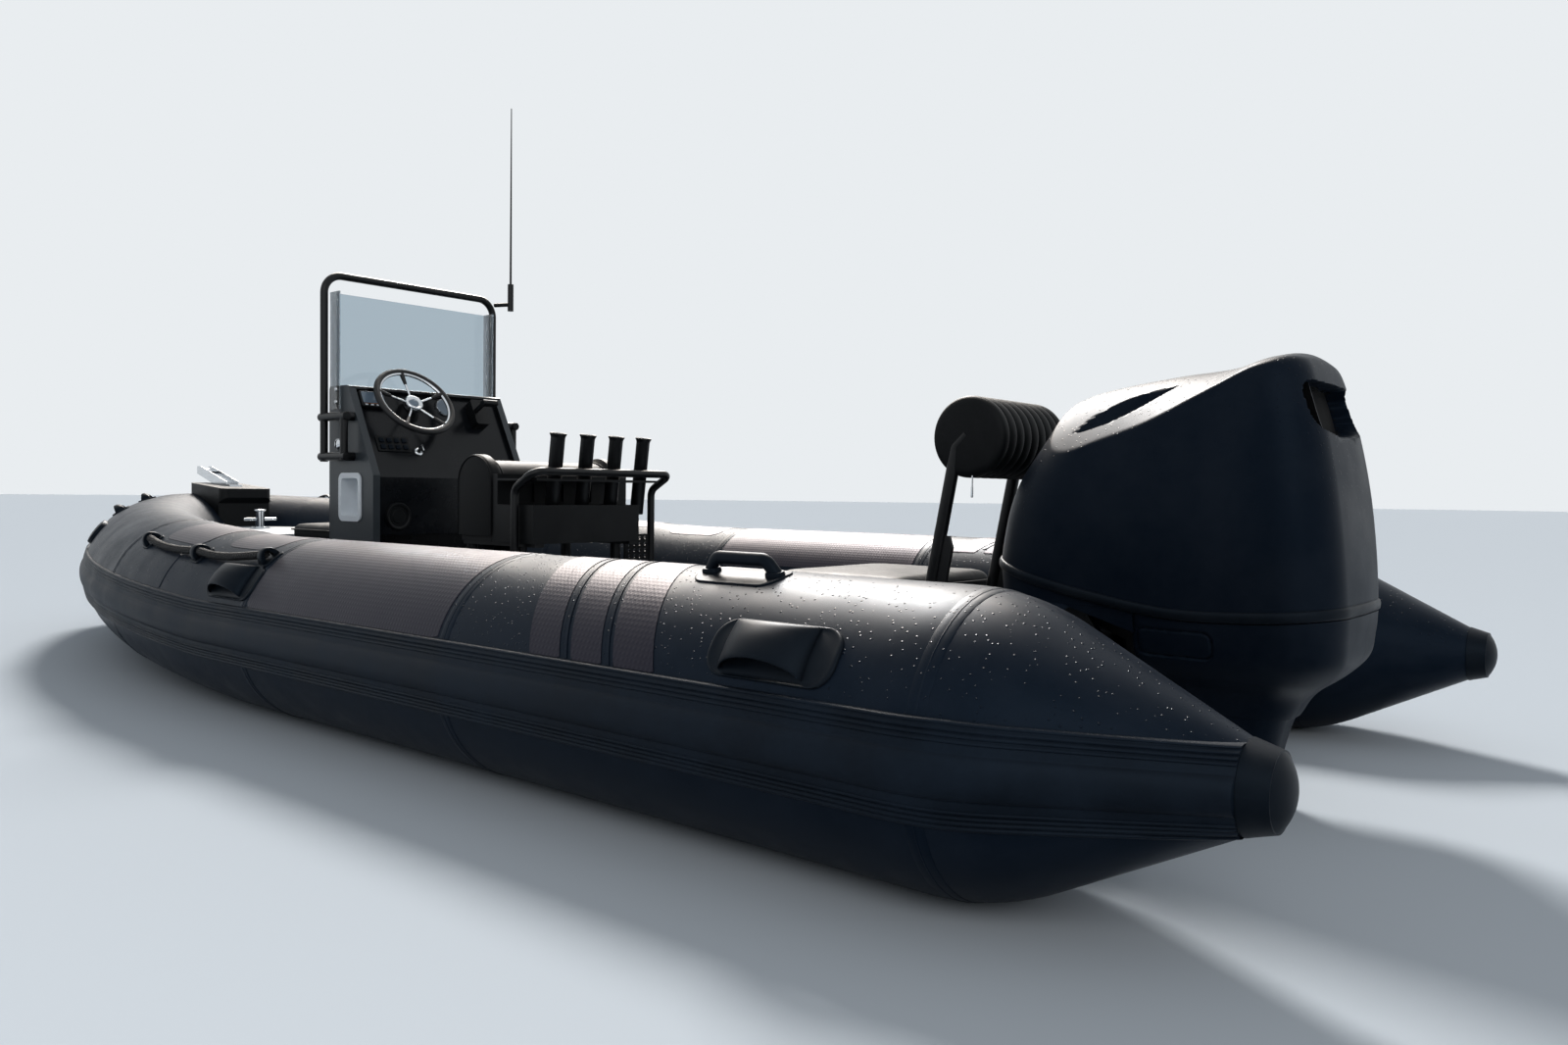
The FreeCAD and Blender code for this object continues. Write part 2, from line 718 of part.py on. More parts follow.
def screen_frame():
    """The tube hoop over the screen, held to the console by a short post and two cross tubes a side."""
    path = [
        V(frame_x, frame_y, frame_low), V(frame_x, frame_y, frame_top),
        V(frame_x, -frame_y, frame_top), V(frame_x, -frame_y, frame_low),
    ]
    pieces = [bent_bar(path, frame_r, frame_bend)]
    for side in (1, -1):
        y = side * frame_y
        pieces.append(rod(V(post_x, y, frame_low + 5), V(post_x, y, max(clamp_z) + 15), frame_r))
        for z in clamp_z:
            pieces.append(rod(V(frame_x + 22, y, z), V(post_x - 22, y, z), clamp_r))
            pad = rod(V(post_x, y, z), V(post_x, side * (console_half + skin), z), clamp_r)
            pieces.append(pad)
    return fused(pieces)


def side_knob():
    """A round push knob on the console's port side."""
    at = V(knob_x, console_half + skin, knob_z)
    stem = Part.makeCylinder(knob_r * 0.6, 10, at, Y)
    head = Part.makeCone(knob_r, knob_r * 0.6, 14, at + Y * 8, Y)
    return fused([stem, head])


def aerial():
    """The whip, its ferrule clamped to the starboard leg of the hoop."""
    ferrule = Part.makeCylinder(13, 120, V(whip_x, whip_y, whip_low), Z)
    whip = Part.makeCone(5, 2.2, whip_top - whip_low - 120, V(whip_x, whip_y, whip_low + 120), Z)
    eye = V(frame_x, -frame_y, whip_low + 30)
    arm = rod(V(whip_x, whip_y, whip_low + 30), eye - X * (frame_r + skin), 9)
    return fused([ferrule, whip, arm])


def front_seat_box():
    """The seat moulding before the console."""
    f = front_seat
    body = box(f["x0"], f["x1"], -f["half"], f["half"], sole_z + sole_t, f["top"])
    return rounded(body, 25, along(Z))


def front_cushion():
    """Its cushion."""
    f = front_seat
    pad = box(f["x0"] + 5, f["x1"] - 5, -f["half"], f["half"], f["top"] + skin, f["top"] + front_cushion_t)
    return rounded(pad, 18, along(Z))


def arch(x0, x1, z0, z1, y0, y1):
    """A block with a round top across its fore and aft faces."""
    radius = (x1 - x0) / 2
    corners = [V(x0, y0, z1 - radius), V(x0, y0, z0), V(x1, y0, z0), V(x1, y0, z1 - radius)]
    edges = [Part.LineSegment(p, q).toShape() for p, q in zip(corners, corners[1:])]
    edges.append(Part.Arc(corners[3], V(x0 + radius, y0, z1), corners[0]).toShape())
    return Part.Face(Part.Wire(edges)).extrude(V(0, y1 - y0, 0))


def seat_pod():
    """The helm seat's moulding."""
    return arch(seat_aft, seat_aft + seat_len, seat_base_z, pod_top, -seat_half + 12, seat_half - 12)


def seat_cushion():
    """The upholstered saddle over the moulding: an upright arch with straight sides and raised ends."""
    x0 = seat_aft - 12
    x1 = seat_aft + seat_len + 12
    low = seat_base_z + 20
    flank = seat_half - bolster_t
    ends = [arch(x0, x1, low, seat_top, y, y + bolster_t) for y in (-seat_half, flank)]
    middle = arch(x0 + 6, x1 - 6, low, seat_top - bolster_rise, -flank, flank)
    inner = arch(seat_aft - skin, seat_aft + seat_len + skin, 0, pod_top + skin,
                 -seat_half + 12 - skin, seat_half - 12 + skin)
    return fused(ends + [middle]).cut(inner)


def seat_frame():
    """Four tube legs on foot plates, with two bearers under the seat and the box."""
    pieces = []
    low = sole_z + sole_t
    fwd = seat_aft + seat_len - 30
    for y in (seat_half - 35, box_starboard + 22):
        for x in (leg_aft_x, fwd):
            pieces.append(rod(V(x, y, low), V(x, y, seat_base_z - 12), leg_r))
            pieces.append(Part.makeCylinder(leg_r * foot_ratio, 6, V(x, y, low), Z))
        pieces.append(box(box_aft + 5, fwd + 25, y - 20, y + 20, seat_base_z - 12, seat_base_z))
    pieces.append(rod(V(fwd, seat_half - 35, 330), V(fwd, box_starboard + 22, 330), leg_r * 0.8))
    return fused(pieces)


def footrest():
    """A perforated tread plate on the starboard side, hung between the box and the rail's post."""
    x0 = footrest_x
    y0, y1 = -rail_y + rail_r + skin, box_starboard - skin
    z1 = seat_base_z + 22
    plate = box(x0, x0 + 6, y0, y1, z1 - footrest_drop, z1)
    holes = []
    for i in range(4):
        for j in range(4):
            at = V(x0 - 5, y0 + 18 + i * 27, z1 - footrest_drop + 16 + j * 23)
            holes.append(Part.makeCylinder(6, 20, at, X))
    return plate.cut(holes)


def seat_panel():
    """The tackle box behind the seat: a hollow tray with a blank aft panel, and the seat's panelled back.

    A shelf over the box steadies the rod tubes.
    """
    wall = 8.0
    fwd = seat_aft - 12 - skin
    outer = box(box_aft, fwd, box_starboard, box_port, seat_base_z, box_top)
    inner = box(box_aft + wall, fwd - 30, box_starboard + wall, box_port - wall,
                seat_base_z + wall, box_top + 5)
    back = box(fwd - 30, fwd, -seat_half + 5, seat_half - 5, seat_base_z, back_top)
    shelf = box(rod_x - 62, fwd - 20, -seat_half + 40, seat_half - 5, shelf_z, shelf_z + shelf_t)
    tools = []
    for i in range(rod_count):
        foot, up = rod_frame(i)
        tools.append(box(fwd - 31, fwd - 22, foot.y - 48, foot.y + 48, box_top + 8, shelf_z - 8))
        tools.append(Part.makeCylinder(rod_r + skin, rod_len, foot, up))
    return fused([outer.cut(inner), back, shelf]).cut(tools)


def seat_rail():
    """The tube rail round the seat's back, on two posts."""
    path = [
        V(rail_post_x, rail_y, sole_z + sole_t), V(rail_post_x, rail_y, rail_low),
        V(rail_aft, rail_y, rail_z), V(rail_aft, -rail_y, rail_z),
        V(rail_post_x, -rail_y, rail_low), V(rail_post_x, -rail_y, sole_z + sole_t),
    ]
    return bent_bar(path, rail_r, 40)


def rod_frame(index):
    """A rod holder's foot and direction."""
    lean = math.radians(rod_lean)
    y = rod_mid_y + (index - (rod_count - 1) / 2) * rod_pitch
    return V(rod_x, y, rod_z), V(-math.sin(lean), 0, math.cos(lean))


def rod_holders():
    """Four tubes with flared rims, leaning aft, on a cross strap."""
    pieces = []
    for i in range(rod_count):
        foot, up = rod_frame(i)
        tube = Part.makeCylinder(rod_r, rod_len, foot, up)
        lip = Part.makeCone(rod_r, rod_r + 5, 8, foot + up * (rod_len - 8), up)
        bore = Part.makeCylinder(rod_bore, rod_len, foot + up * 8, up)
        pieces.append(fused([tube, lip]).cut(bore))
    return Part.makeCompound(pieces)


def stern_box():
    """The stern seat's locker, open at the top under its lid, with the outer knuckles of its hinge."""
    wall = 12.0
    low = sole_z + sole_t
    outer = rounded(box(stern_aft, stern_fwd, -stern_half, stern_half, low, stern_box_top), 30, along(Z))
    inner = rounded(box(stern_aft + wall, stern_fwd - wall, -stern_half + wall, stern_half - wall,
                        low + wall, stern_box_top + 5), 18, along(Z))
    pieces = [outer.cut(inner)]
    for y in (hinge_half + 1, -hinge_half - 21):
        axis = V(hinge_x, y, stern_box_top + skin)
        leaf = box(stern_fwd, hinge_x, y, y + 20, stern_box_top - 30, stern_box_top + skin)
        pieces += [rod(axis, axis + Y * 20, hinge_r), leaf]
    return fused(pieces)


def stern_lid():
    """The locker's lid, hinged at its front edge, with an aft margin that carries the backrest."""
    z0 = stern_box_top + skin
    slab = box(stern_aft - 5, stern_fwd, -stern_half, stern_half, z0, z0 + lid_t)
    slab = rounded(slab, 30, along(Z))
    barrel = rod(V(hinge_x, -hinge_half, z0), V(hinge_x, hinge_half, z0), hinge_r)
    leaf = box(stern_fwd - 2, hinge_x, -hinge_half, hinge_half, z0, z0 + hinge_r)
    return fused([slab, leaf, barrel])


def stern_cushion():
    """Its cushion."""
    z0 = stern_box_top + skin + lid_t + skin
    pad = box(cushion_aft, stern_fwd - 5, -stern_half, stern_half, z0, z0 + stern_cushion_t)
    return rounded(pad, 40, along(Z))


def back_leg_path(side):
    """A backrest leg's route: up from its foot, leaning aft, and in to the roll's centre."""
    y = side * back_y
    z0 = stern_box_top + 2 * skin + lid_t
    return [V(back_foot_x, y, z0), V(roll_x + 36, y, roll_z - 26), V(roll_x + 4, y, roll_z + 6)]


def backrest_legs(radius):
    """The two legs, at a radius."""
    return [bent_bar(back_leg_path(side), radius, 24) for side in (1, -1)]


def backrest_frame():
    """Two tube legs that lean aft, each with a foot plate and a gusset."""
    z0 = stern_box_top + 2 * skin + lid_t
    legs = []
    for side, leg in zip((1, -1), backrest_legs(back_r)):
        y = side * back_y
        plate = box(stern_aft, back_foot_x + 22, y - 26, y + 26, z0, z0 + 6)
        gusset = prism_xz([
            (back_foot_x, z0 + 4), (back_foot_x - 45, z0 + 4), (back_foot_x - 72, gusset_top - 30),
            (back_foot_x - 62, gusset_top), (back_foot_x - 38, gusset_top),
        ], y - gusset_t / 2, y + gusset_t / 2)
        whole = fused([leg, plate, gusset])
        legs.append(whole.cut(box(stern_aft - 100, stern_fwd, y - 60, y + 60, z0 - 60, z0)))
    return Part.makeCompound(legs)


def backrest_roll():
    """The channelled roll, with a round seat at each end for its leg."""
    body = Part.makeCylinder(roll_r, 2 * roll_half, V(roll_x, -roll_half, roll_z), Y)
    body = body.makeFillet(12, [e for e in body.Edges if e.BoundBox.YLength < 0.1])
    return body.cut(BACK_TOOL)


def clamp_bracket():
    """Two engine clamps over the transom, joined by the tilt tube that the swivel hangs on."""
    side = prism_xz([
        (-clamp_w * 3, 150), (-skin, 150), (-skin, transom_top + skin),
        (transom_t + skin, transom_top + skin),
        (transom_t + skin, transom_top - 120), (transom_t + 14, transom_top - 120),
        (transom_t + 14, transom_top + 8), (tilt_x + 24, tilt_z + 12), (tilt_x, tilt_z + 28),
        (tilt_x - 26, tilt_z + 12), (-clamp_w * 3, 330),
    ], clamp_half - clamp_w, clamp_half)
    tube = rod(V(tilt_x, -clamp_half, tilt_z), V(tilt_x, clamp_half, tilt_z), tilt_r)
    return fused([side, mirrored(side), tube])


def swivel_bracket():
    """The swivel between the clamps: a sleeve on the tilt tube and the steering sleeve behind it."""
    inner = clamp_half - clamp_w - running
    sleeve = rod(V(tilt_x, -inner, tilt_z), V(tilt_x, inner, tilt_z), tilt_r + 9)
    arm = prism_xz([
        (tilt_x, tilt_z + 20), (steer_x, tilt_z + 10), (steer_x, 60), (steer_x + 40, 60),
        (steer_x + 60, tilt_z - 60), (tilt_x, tilt_z - 22),
    ], -48, 48)
    post = Part.makeCylinder(steer_r + 16, tilt_z - 60 + 10, V(steer_x, 0, 60), Z)
    whole = fused([sleeve, arm, post])
    bore = rod(V(tilt_x, -300, tilt_z), V(tilt_x, 300, tilt_z), tilt_r + 0.05)
    shaft = Part.makeCylinder(steer_r + 0.05, 600, V(steer_x, 0, -50), Z)
    return whole.cut([bore, shaft])


def plan_outline(z, x_aft, x_fwd, half, front_r, aft_r):
    """A rounded plan at a height: straight sides, a round nose and rounded aft corners."""
    front = min(front_r, half - 1)
    back = min(aft_r, half - 1)
    p = [V(x_aft, half - back, z), V(x_aft + back, half, z),
         V(x_fwd - front, half, z), V(x_fwd, half - front, z)]
    k = math.sqrt(0.5)
    edges = []
    corner = [V(x_aft + back * (1 - k), half - back * (1 - k), z),
              V(x_fwd - front * (1 - k), half - front * (1 - k), z)]

    def low(v):
        return V(v.x, -v.y, v.z)
    edges.append(Part.Arc(p[0], corner[0], p[1]).toShape())
    edges.append(Part.LineSegment(p[1], p[2]).toShape())
    edges.append(Part.Arc(p[2], corner[1], p[3]).toShape())
    edges.append(Part.LineSegment(p[3], low(p[3])).toShape())
    edges.append(Part.Arc(low(p[3]), low(corner[1]), low(p[2])).toShape())
    edges.append(Part.LineSegment(low(p[2]), low(p[1])).toShape())
    edges.append(Part.Arc(low(p[1]), low(corner[0]), low(p[0])).toShape())
    edges.append(Part.LineSegment(low(p[0]), p[0]).toShape())
    return Part.Wire(edges)


def place_at(run):
    """The tube's own frame at a distance along its centreline, forward of the transom."""
    path = [("run", min(run, rise_x) - seam_mid_x, 0)]
    rise_len = rise_r * math.radians(rise_deg)
    beyond = run - rise_x
    if beyond > 0:
        path.append(("rise", math.degrees(min(beyond, rise_len) / rise_r), rise_r))
    if beyond > rise_len:
        path.append(("turn", math.degrees((beyond - rise_len) / turn_r), turn_r))
    return swept(disc(1.0), SEAM_MID, path)[1]


def tube_tool(place, grown):
    """A stretch of the tube about a place, grown, that trims what stands on it."""
    tool = Part.makeCylinder(tube_r + grown, 800, V(-400, 0, 0), X)
    tool.Placement = place
    return tool


def on_tube(place, around, lift):
    """A point off the tube's surface: around is the angle up from its outer side."""
    turn = math.radians(around)
    reach = tube_r + lift
    return place.multVec(V(0, reach * math.cos(turn), reach * math.sin(turn)))


def patch(place, length, low, high, thick, corner):
    """A rounded flange glued to the tube, from one angle up its side to another."""
    def on(radius, angle):
        turn = math.radians(angle)
        return V(-length / 2, radius * math.cos(turn), radius * math.sin(turn))
    inner = tube_r + skin
    outer = tube_r + skin + thick
    mean = (low + high) / 2
    edges = [
        Part.Arc(on(inner, low), on(inner, mean), on(inner, high)).toShape(),
        Part.LineSegment(on(inner, high), on(outer, high)).toShape(),
        Part.Arc(on(outer, high), on(outer, mean), on(outer, low)).toShape(),
        Part.LineSegment(on(outer, low), on(inner, low)).toShape(),
    ]
    band = Part.Face(Part.Wire(edges)).extrude(V(length, 0, 0))
    corners = [e for e in band.Edges if e.Length < thick * 1.01]
    band = band.makeFillet(corner, corners)
    band.Placement = place
    return band


def top_handles():
    """Moulded grab handles on the tube tops beside the stern seat."""
    h = top_handle
    place = place_at((h["x0"] + h["x1"]) / 2)
    length = h["x1"] - h["x0"]
    pad = patch(place, length, h["around"] - 9, h["around"] + 9, pad_t, 20)
    points = []
    for along_x, lift in ((-0.42, 3), (-0.30, h["lift"]), (0.30, h["lift"]), (0.42, 3)):
        foot = FreeCAD.Placement(V(along_x * length, 0, 0), FreeCAD.Rotation())
        points.append(on_tube(place.multiply(foot), h["around"], lift))
    bar = bent_bar(points, h["r"], 22).cut(tube_tool(place, skin + pad_bite))
    return both(fused([pad, largest(bar)]))


def carry_handles():
    """Moulded carrying handles on the tubes' outer shoulders: a pad with a wide arched strap."""
    h = carry
    mean = math.radians((h["low"] + h["high"]) / 2)
    solids = []
    for run in h["xs"]:
        place = place_at(run)
        pad = patch(place, h["len"], h["low"], h["high"], pad_t, h["corner"])
        half = h["span"] / 2
        inner = half - h["t"] * 2
        edges = [
            Part.Arc(V(-half, 0, 0), V(0, 0, h["lift"]), V(half, 0, 0)).toShape(),
            Part.LineSegment(V(half, 0, 0), V(inner, 0, 0)).toShape(),
            Part.Arc(V(inner, 0, 0), V(0, 0, h["lift"] - h["t"]), V(-inner, 0, 0)).toShape(),
            Part.LineSegment(V(-inner, 0, 0), V(-half, 0, 0)).toShape(),
        ]
        strap = Part.Face(Part.Wire(edges)).extrude(V(0, h["strap"], 0))
        strap.translate(V(0, -h["strap"] / 2, 0))
        out = V(0, math.cos(mean), math.sin(mean))
        seat = FreeCAD.Placement(out * tube_r, FreeCAD.Rotation(X, out.cross(X), out, "XZY"))
        strap.Placement = place.multiply(seat).multiply(strap.Placement)
        strap = largest(strap.cut(tube_tool(place, skin + pad_bite)))
        solids.append(fused([pad, strap]))
    return Part.makeCompound([s for solid in solids for s in (solid, mirrored(solid))])


def rope_points():
    """The grab rope's route on the port bow tube: over three holders, with a sag between them."""
    points = []
    stops = list(zip(rope["xs"], rope["around"]))
    for (run_a, around_a), (run_b, around_b) in zip(stops, stops[1:]):
        for share in (0.0, 0.3, 0.7):
            run = run_a + (run_b - run_a) * share
            around = around_a + (around_b - around_a) * share - (rope["sag"] if share else 0.0)
            points.append(on_tube(place_at(run), around, rope["r"] + 7))
    points.append(on_tube(place_at(stops[-1][0]), stops[-1][1], rope["r"] + 7))
    return points


def grab_ropes():
    """The rope hand lines on the bow tube."""
    return both(bent_bar(rope_points(), rope["r"], rope["bend"]))


def rope_holders():
    """Three moulded rope holders a side, each a flange with an eye round the rope."""
    points = rope_points()
    solids = []
    for i, (run, around) in enumerate(zip(rope["xs"], rope["around"])):
        place = place_at(run)
        pad = patch(place, 62, around - 6, around + 6, pad_t, 12)
        at = points[3 * i]
        before = points[max(0, 3 * i - 1)]
        after = points[min(len(points) - 1, 3 * i + 1)]
        way = (after - before).normalize()
        ring = Part.makeCylinder(rope["r"] + 8, 24, at - way * 12, way).cut(tube_tool(place, skin + pad_bite))
        hole = Part.makeCylinder(rope["r"] + 1.5, 60, at - way * 30, way)
        solids.append(largest(fused([pad, largest(ring)]).cut(hole)))
    return Part.makeCompound([s for solid in solids for s in (solid, mirrored(solid))])


def eye_plate(root, tip, thick, hole_r, wide, normal):
    """A lug: a flat plate across a normal, with a round eye at its tip."""
    run = (tip - root).normalize()
    side = normal.cross(run)
    points = [root + side * wide, root - side * wide, tip - side * hole_r * 1.7, tip + side * hole_r * 1.7]
    wire = Part.makePolygon(points + points[:1])
    web = Part.Face(wire).extrude(normal * thick)
    web.translate(normal * -thick / 2)
    head = Part.makeCylinder(hole_r * 1.75, thick, tip - normal * thick / 2, normal)
    hole = Part.makeCylinder(hole_r, thick * 3, tip - normal * thick * 1.5, normal)
    return fused([web, head]).cut(hole)


def bow_eye():
    """The towing eye on the stem."""
    e = bow_eye_size
    lug = eye_plate(V(e["x"] - 40, 0, e["z"] + 75), V(e["x"], 0, e["z"]), e["t"], e["r"], 30, Y)
    return largest(lug.cut(HULL))


def stern_eyes():
    """Two lugs low on the transom, their eyes upright."""
    e = stern_eye
    lug = eye_plate(V(-skin - 6, e["y"], e["z"]), V(-skin - e["out"], e["y"], e["z"]), e["t"], e["r"], 26, Z)
    plate = box(-skin - 6, -skin, e["y"] - 32, e["y"] + 32, e["z"] - 30, e["z"] + 30)
    return both(fused([lug, plate]))


def engine_room():
    """The hollow under the cowl that clears the clamps and the swivel through the whole steering swing."""
    half = [(pan_split, 155), (-30, 226), (20, 202), (78, 155), (112, 60)]
    plan = half + [(x, -y) for x, y in reversed(half)]
    around_post = Part.makeCylinder(steer_r + 16 + running + 8, cowl_floor, V(steer_x, 0, 0), Z)
    return fused([prism_xy(plan, 0, cowl_floor), around_post])


def below_seam(gap):
    """Everything under the cowl's lower edge, less a gap."""
    line = [(x, z - gap) for x, z in SEAM]
    return prism_xz([(-800, line[0][1])] + line + [(500, line[-1][1]), (500, 0), (-800, 0)], -400, 400)


def over_crown(lowered):
    """Everything over the cowl's top, whose ridge falls to a shoulder line a side, lowered by a depth."""
    wires = []
    for k in (-1.25, -0.6, 0.0, 0.6, 1.25):
        fall = abs(k) ** 1.6
        line = [(x, ridge + (shoulder - ridge) * fall - lowered) for x, ridge, shoulder in CROWN]
        line = [(-800, line[0][1])] + line + [(500, line[-1][1]), (500, 1300), (-800, 1300)]
        wires.append(Part.makePolygon([V(x, k * crown_half, z) for x, z in line + line[:1]]))
    return Part.makeLoft(wires, True, True)


def scoop_plan():
    """The intake's leaf, port side, as a tall prism between two arcs."""
    c = scoop
    a = V(c["x0"], c["y0"], 600)
    b = V(c["x1"], c["y1"], 600)
    mid = (a + b) * 0.5
    side = Z.cross((b - a).normalize()) * c["bow"]
    edges = [Part.Arc(a, mid + side, b).toShape(), Part.Arc(b, mid - side, a).toShape()]
    return Part.Face(Part.Wire(edges)).extrude(V(0, 0, 600))


def cowl():
    """The engine's cowl: plan sections lofted up, its roof, a lip, two scoops and the aft vent."""
    # height, aft end, forward end, half width, nose radius, aft corner radius
    sections = [
        (400, -583, 232, 236, 170, 110),
        (560, -575, 228, 243, 178, 110),
        (720, -557, 190, 240, 182, 105),
        (860, -530, 104, 224, 180, 95),
        (1040, -478, 10, 190, 150, 80),
    ]
    body = Part.makeLoft([plan_outline(*row) for row in sections], True, False)
    wide = [plan_outline(z, aft - lip_t, fwd + lip_t, half + lip_t, nose, back)
            for z, aft, fwd, half, nose, back in sections[:2]]
    lip = Part.makeLoft(wide, True, True)
    lip = lip.common(below_seam(-lip_h))
    whole = fused([body, lip]).cut([below_seam(0), over_crown(0), engine_room()])
    leaf = scoop_plan().common(over_crown(scoop["depth"]))
    v = vent
    mouth = box(-700, sections[3][1] + v["depth"], -v["half"], v["half"], v["z0"], v["z1"])
    mouth = rounded(mouth, v["corner"], along(X))
    return largest(whole.cut([leaf, mirrored(leaf), mouth]))


def lower_cowl():
    """The skirt under the cowl, drawn in aft to the leg."""
    # height, aft end, forward end, half width, nose radius, aft corner radius
    skirt = [
        (460, -582, -150, 237, 40, 110),
        (400, -579, -150, 229, 40, 110),
        (340, -567, -150, 208, 40, 105),
        (300, -531, -150, 172, 40, 95),
        (262, -482, -150, 122, 40, 75),
        (206, -446, -150, 90, 30, 55),
    ]
    body = Part.makeLoft([plan_outline(*row) for row in skirt[::-1]], True, False)
    body = body.common(box(-700, pan_split, -400, 400, 0, 600)).common(below_seam(seam_gap))
    return largest(body.cut(engine_room()))


def pan_body():
    """The outer form of the pan and aprons, forward of the skirt."""
    body = Part.makeLoft([plan_outline(380, -582, 218, 226, 160, 110),
                          plan_outline(540, -582, 230, 243, 172, 110)], True, True)
    return body.common(below_seam(seam_gap))


def front_pan():
    """The pan under the cowl's forward end, over the clamps."""
    front = box(pan_split + skin, 400, -400, 400, cowl_floor, 700)
    return largest(pan_body().common(front))


def side_aprons():
    """Two aprons that close the cowl's sides between the skirt and the clamps."""
    aft = pan_split + skin
    keep = prism_xz([(aft, 392), (apron_fwd, cowl_floor - skin), (aft, cowl_floor - skin)], 0, 400)
    side = pan_body().common(keep).cut(engine_room())
    return both(largest(side))


def driveshaft_housing():
    """The leg, with the yoke and shaft that turn in the swivel."""
    # height, aft end, forward end, half width, nose radius, aft corner radius
    sections = [
        (206, -446, -190, 90, 30, 55),
        (120, -424, -192, 72, 40, 50),
        (0, -412, -194, 56, 40, 40),
        (plate_z, -400, -196, 42, 34, 34),
    ]
    leg = Part.makeLoft([plan_outline(*s) for s in sections[::-1]], True, False)
    yoke = box(-230, steer_x + 40, -45, 45, 0, 50)
    shaft = Part.makeCylinder(steer_r, cowl_floor - 1, V(steer_x, 0, 1), Z)
    arm = box(-165, steer_x + 35, -45, 45, cowl_floor - 12, cowl_floor)
    return fused([leg, rounded(yoke, 20, along(Z)), shaft, arm])


def gearcase():
    """The plate over the propeller, the strut, the torpedo and its skeg."""
    top = Part.Face(plan_outline(plate_z - 10, -500, -150, 118, 100, 60)).extrude(V(0, 0, 10))
    strut = Part.makeLoft([
        plan_outline(prop_z, -420, -180, 30, 22, 22), plan_outline(plate_z - 10, -410, -190, 42, 34, 34),
    ], True, False)
    nose = V(-95, 0, prop_z)
    profile = [
        Part.LineSegment(V(prop_front, 0, prop_z), nose).toShape(),
        Part.Arc(nose, V(-150, 0, prop_z + 44), V(-250, 0, prop_z + 60)).toShape(),
        Part.LineSegment(V(-250, 0, prop_z + 60), V(-400, 0, prop_z + 58)).toShape(),
        Part.LineSegment(V(-400, 0, prop_z + 58), V(prop_front, 0, prop_z + 48)).toShape(),
        Part.LineSegment(V(prop_front, 0, prop_z + 48), V(prop_front, 0, prop_z)).toShape(),
    ]
    torpedo = Part.Face(Part.Wire(profile)).revolve(V(0, 0, prop_z), X, 360)
    skeg = prism_xz([(-200, prop_z - 30), (-430, prop_z - 30), (-440, prop_z - 158), (-340, prop_z - 165),
                     (-300, prop_z - 140)], -5, 5)
    whole = fused([top, strut, torpedo, skeg])
    bore = rod(V(prop_front - 10, 0, prop_z), V(prop_front + 60, 0, prop_z), prop_shaft_r + 0.05)
    return whole.cut(bore)


def blade_section(radius, chord, thick):
    """A lens-shaped blade section at a radius, turned to the propeller's pitch."""
    pitch = math.atan(prop_pitch / (2 * math.pi * radius))
    lead = V(math.sin(pitch) * chord / 2, math.cos(pitch) * chord / 2, 0)
    across = V(math.cos(pitch), -math.sin(pitch), 0) * thick / 2
    base = V(prop_x, 0, prop_z + radius)
    return Part.Wire([
        Part.Arc(base - lead, base + across, base + lead).toShape(),
        Part.Arc(base + lead, base - across, base - lead).toShape(),
    ])


def propeller():
    """A hub with three pitched blades, and the shaft that turns in the gearcase."""
    hub = rod(V(prop_front - 6, 0, prop_z), V(prop_x - 55, 0, prop_z), prop_hub_r)
    shaft = rod(V(prop_front + 55, 0, prop_z), V(prop_x, 0, prop_z), prop_shaft_r)
    blade = Part.makeLoft([
        blade_section(prop_hub_r * 0.8, 92, 13), blade_section(prop_r * 0.62, 150, 9),
        blade_section(prop_r * 0.88, 118, 6), blade_section(prop_r, 44, 3),
    ], True, False)
    pieces = [hub, shaft]
    for i in range(3):
        one = blade.copy()
        one.rotate(V(0, 0, prop_z), X, 120 * i)
        pieces.append(one)
    return fused(pieces)


HULL = hull()
STRAKE = strake()
BACK = backrest_frame()
BACK_TOOL = backrest_legs(back_r + skin)
WHEEL_TOOL = wheel_shaft(shaft_r + 0.05)

PARTS = {
    "hull": HULL, "deck": deck(), "transom": transom(), "cone_caps": cone_caps(),
    "strake_port": STRAKE, "strake_starboard": mirrored(STRAKE),
    "top_handles": top_handles(), "carry_handles": carry_handles(),
    "grab_ropes": grab_ropes(), "rope_holders": rope_holders(),
    "bow_deck": bow_deck(), "bow_step": bow_step(), "anchor_roller": anchor_roller(),
    "mooring_bitt": mooring_bitt(), "bow_eye": bow_eye(), "stern_eyes": stern_eyes(),
    "console": console(), "niche_rim": niche_rim(), "dash_display": dash_display(),
    "console_hatch": console_hatch(), "helm_boss": helm_boss(), "throttle": throttle(),
    "windscreen": windscreen(), "screen_frame": screen_frame(), "side_knob": side_knob(),
    "aerial": aerial(), "front_seat_box": front_seat_box(), "front_cushion": front_cushion(),
    "seat_frame": seat_frame(), "seat_pod": seat_pod(), "seat_cushion": seat_cushion(),
    "seat_panel": seat_panel(), "seat_rail": seat_rail(), "rod_holders": rod_holders(),
    "footrest": footrest(), "stern_box": stern_box(), "clamp_bracket": clamp_bracket(),
    "stern_lid": stern_lid(), "stern_cushion": stern_cushion(), "backrest_frame": BACK,
    "backrest_roll": backrest_roll(), "swivel_bracket": swivel_bracket(), "cowl": cowl(),
    "lower_cowl": lower_cowl(), "front_pan": front_pan(), "side_aprons": side_aprons(),
    "driveshaft_housing": driveshaft_housing(), "gearcase": gearcase(),
    "propeller": propeller(), "steering_wheel": steering_wheel(),
}
PARTS.update(tubes())

os.makedirs("parts", exist_ok=True)
for name, shape in PARTS.items():
    shape.exportStep("parts/" + name + ".step")
    print(name, shape.ShapeType, len(shape.Solids), round(shape.Volume / 1e6, 3), shape.isValid())
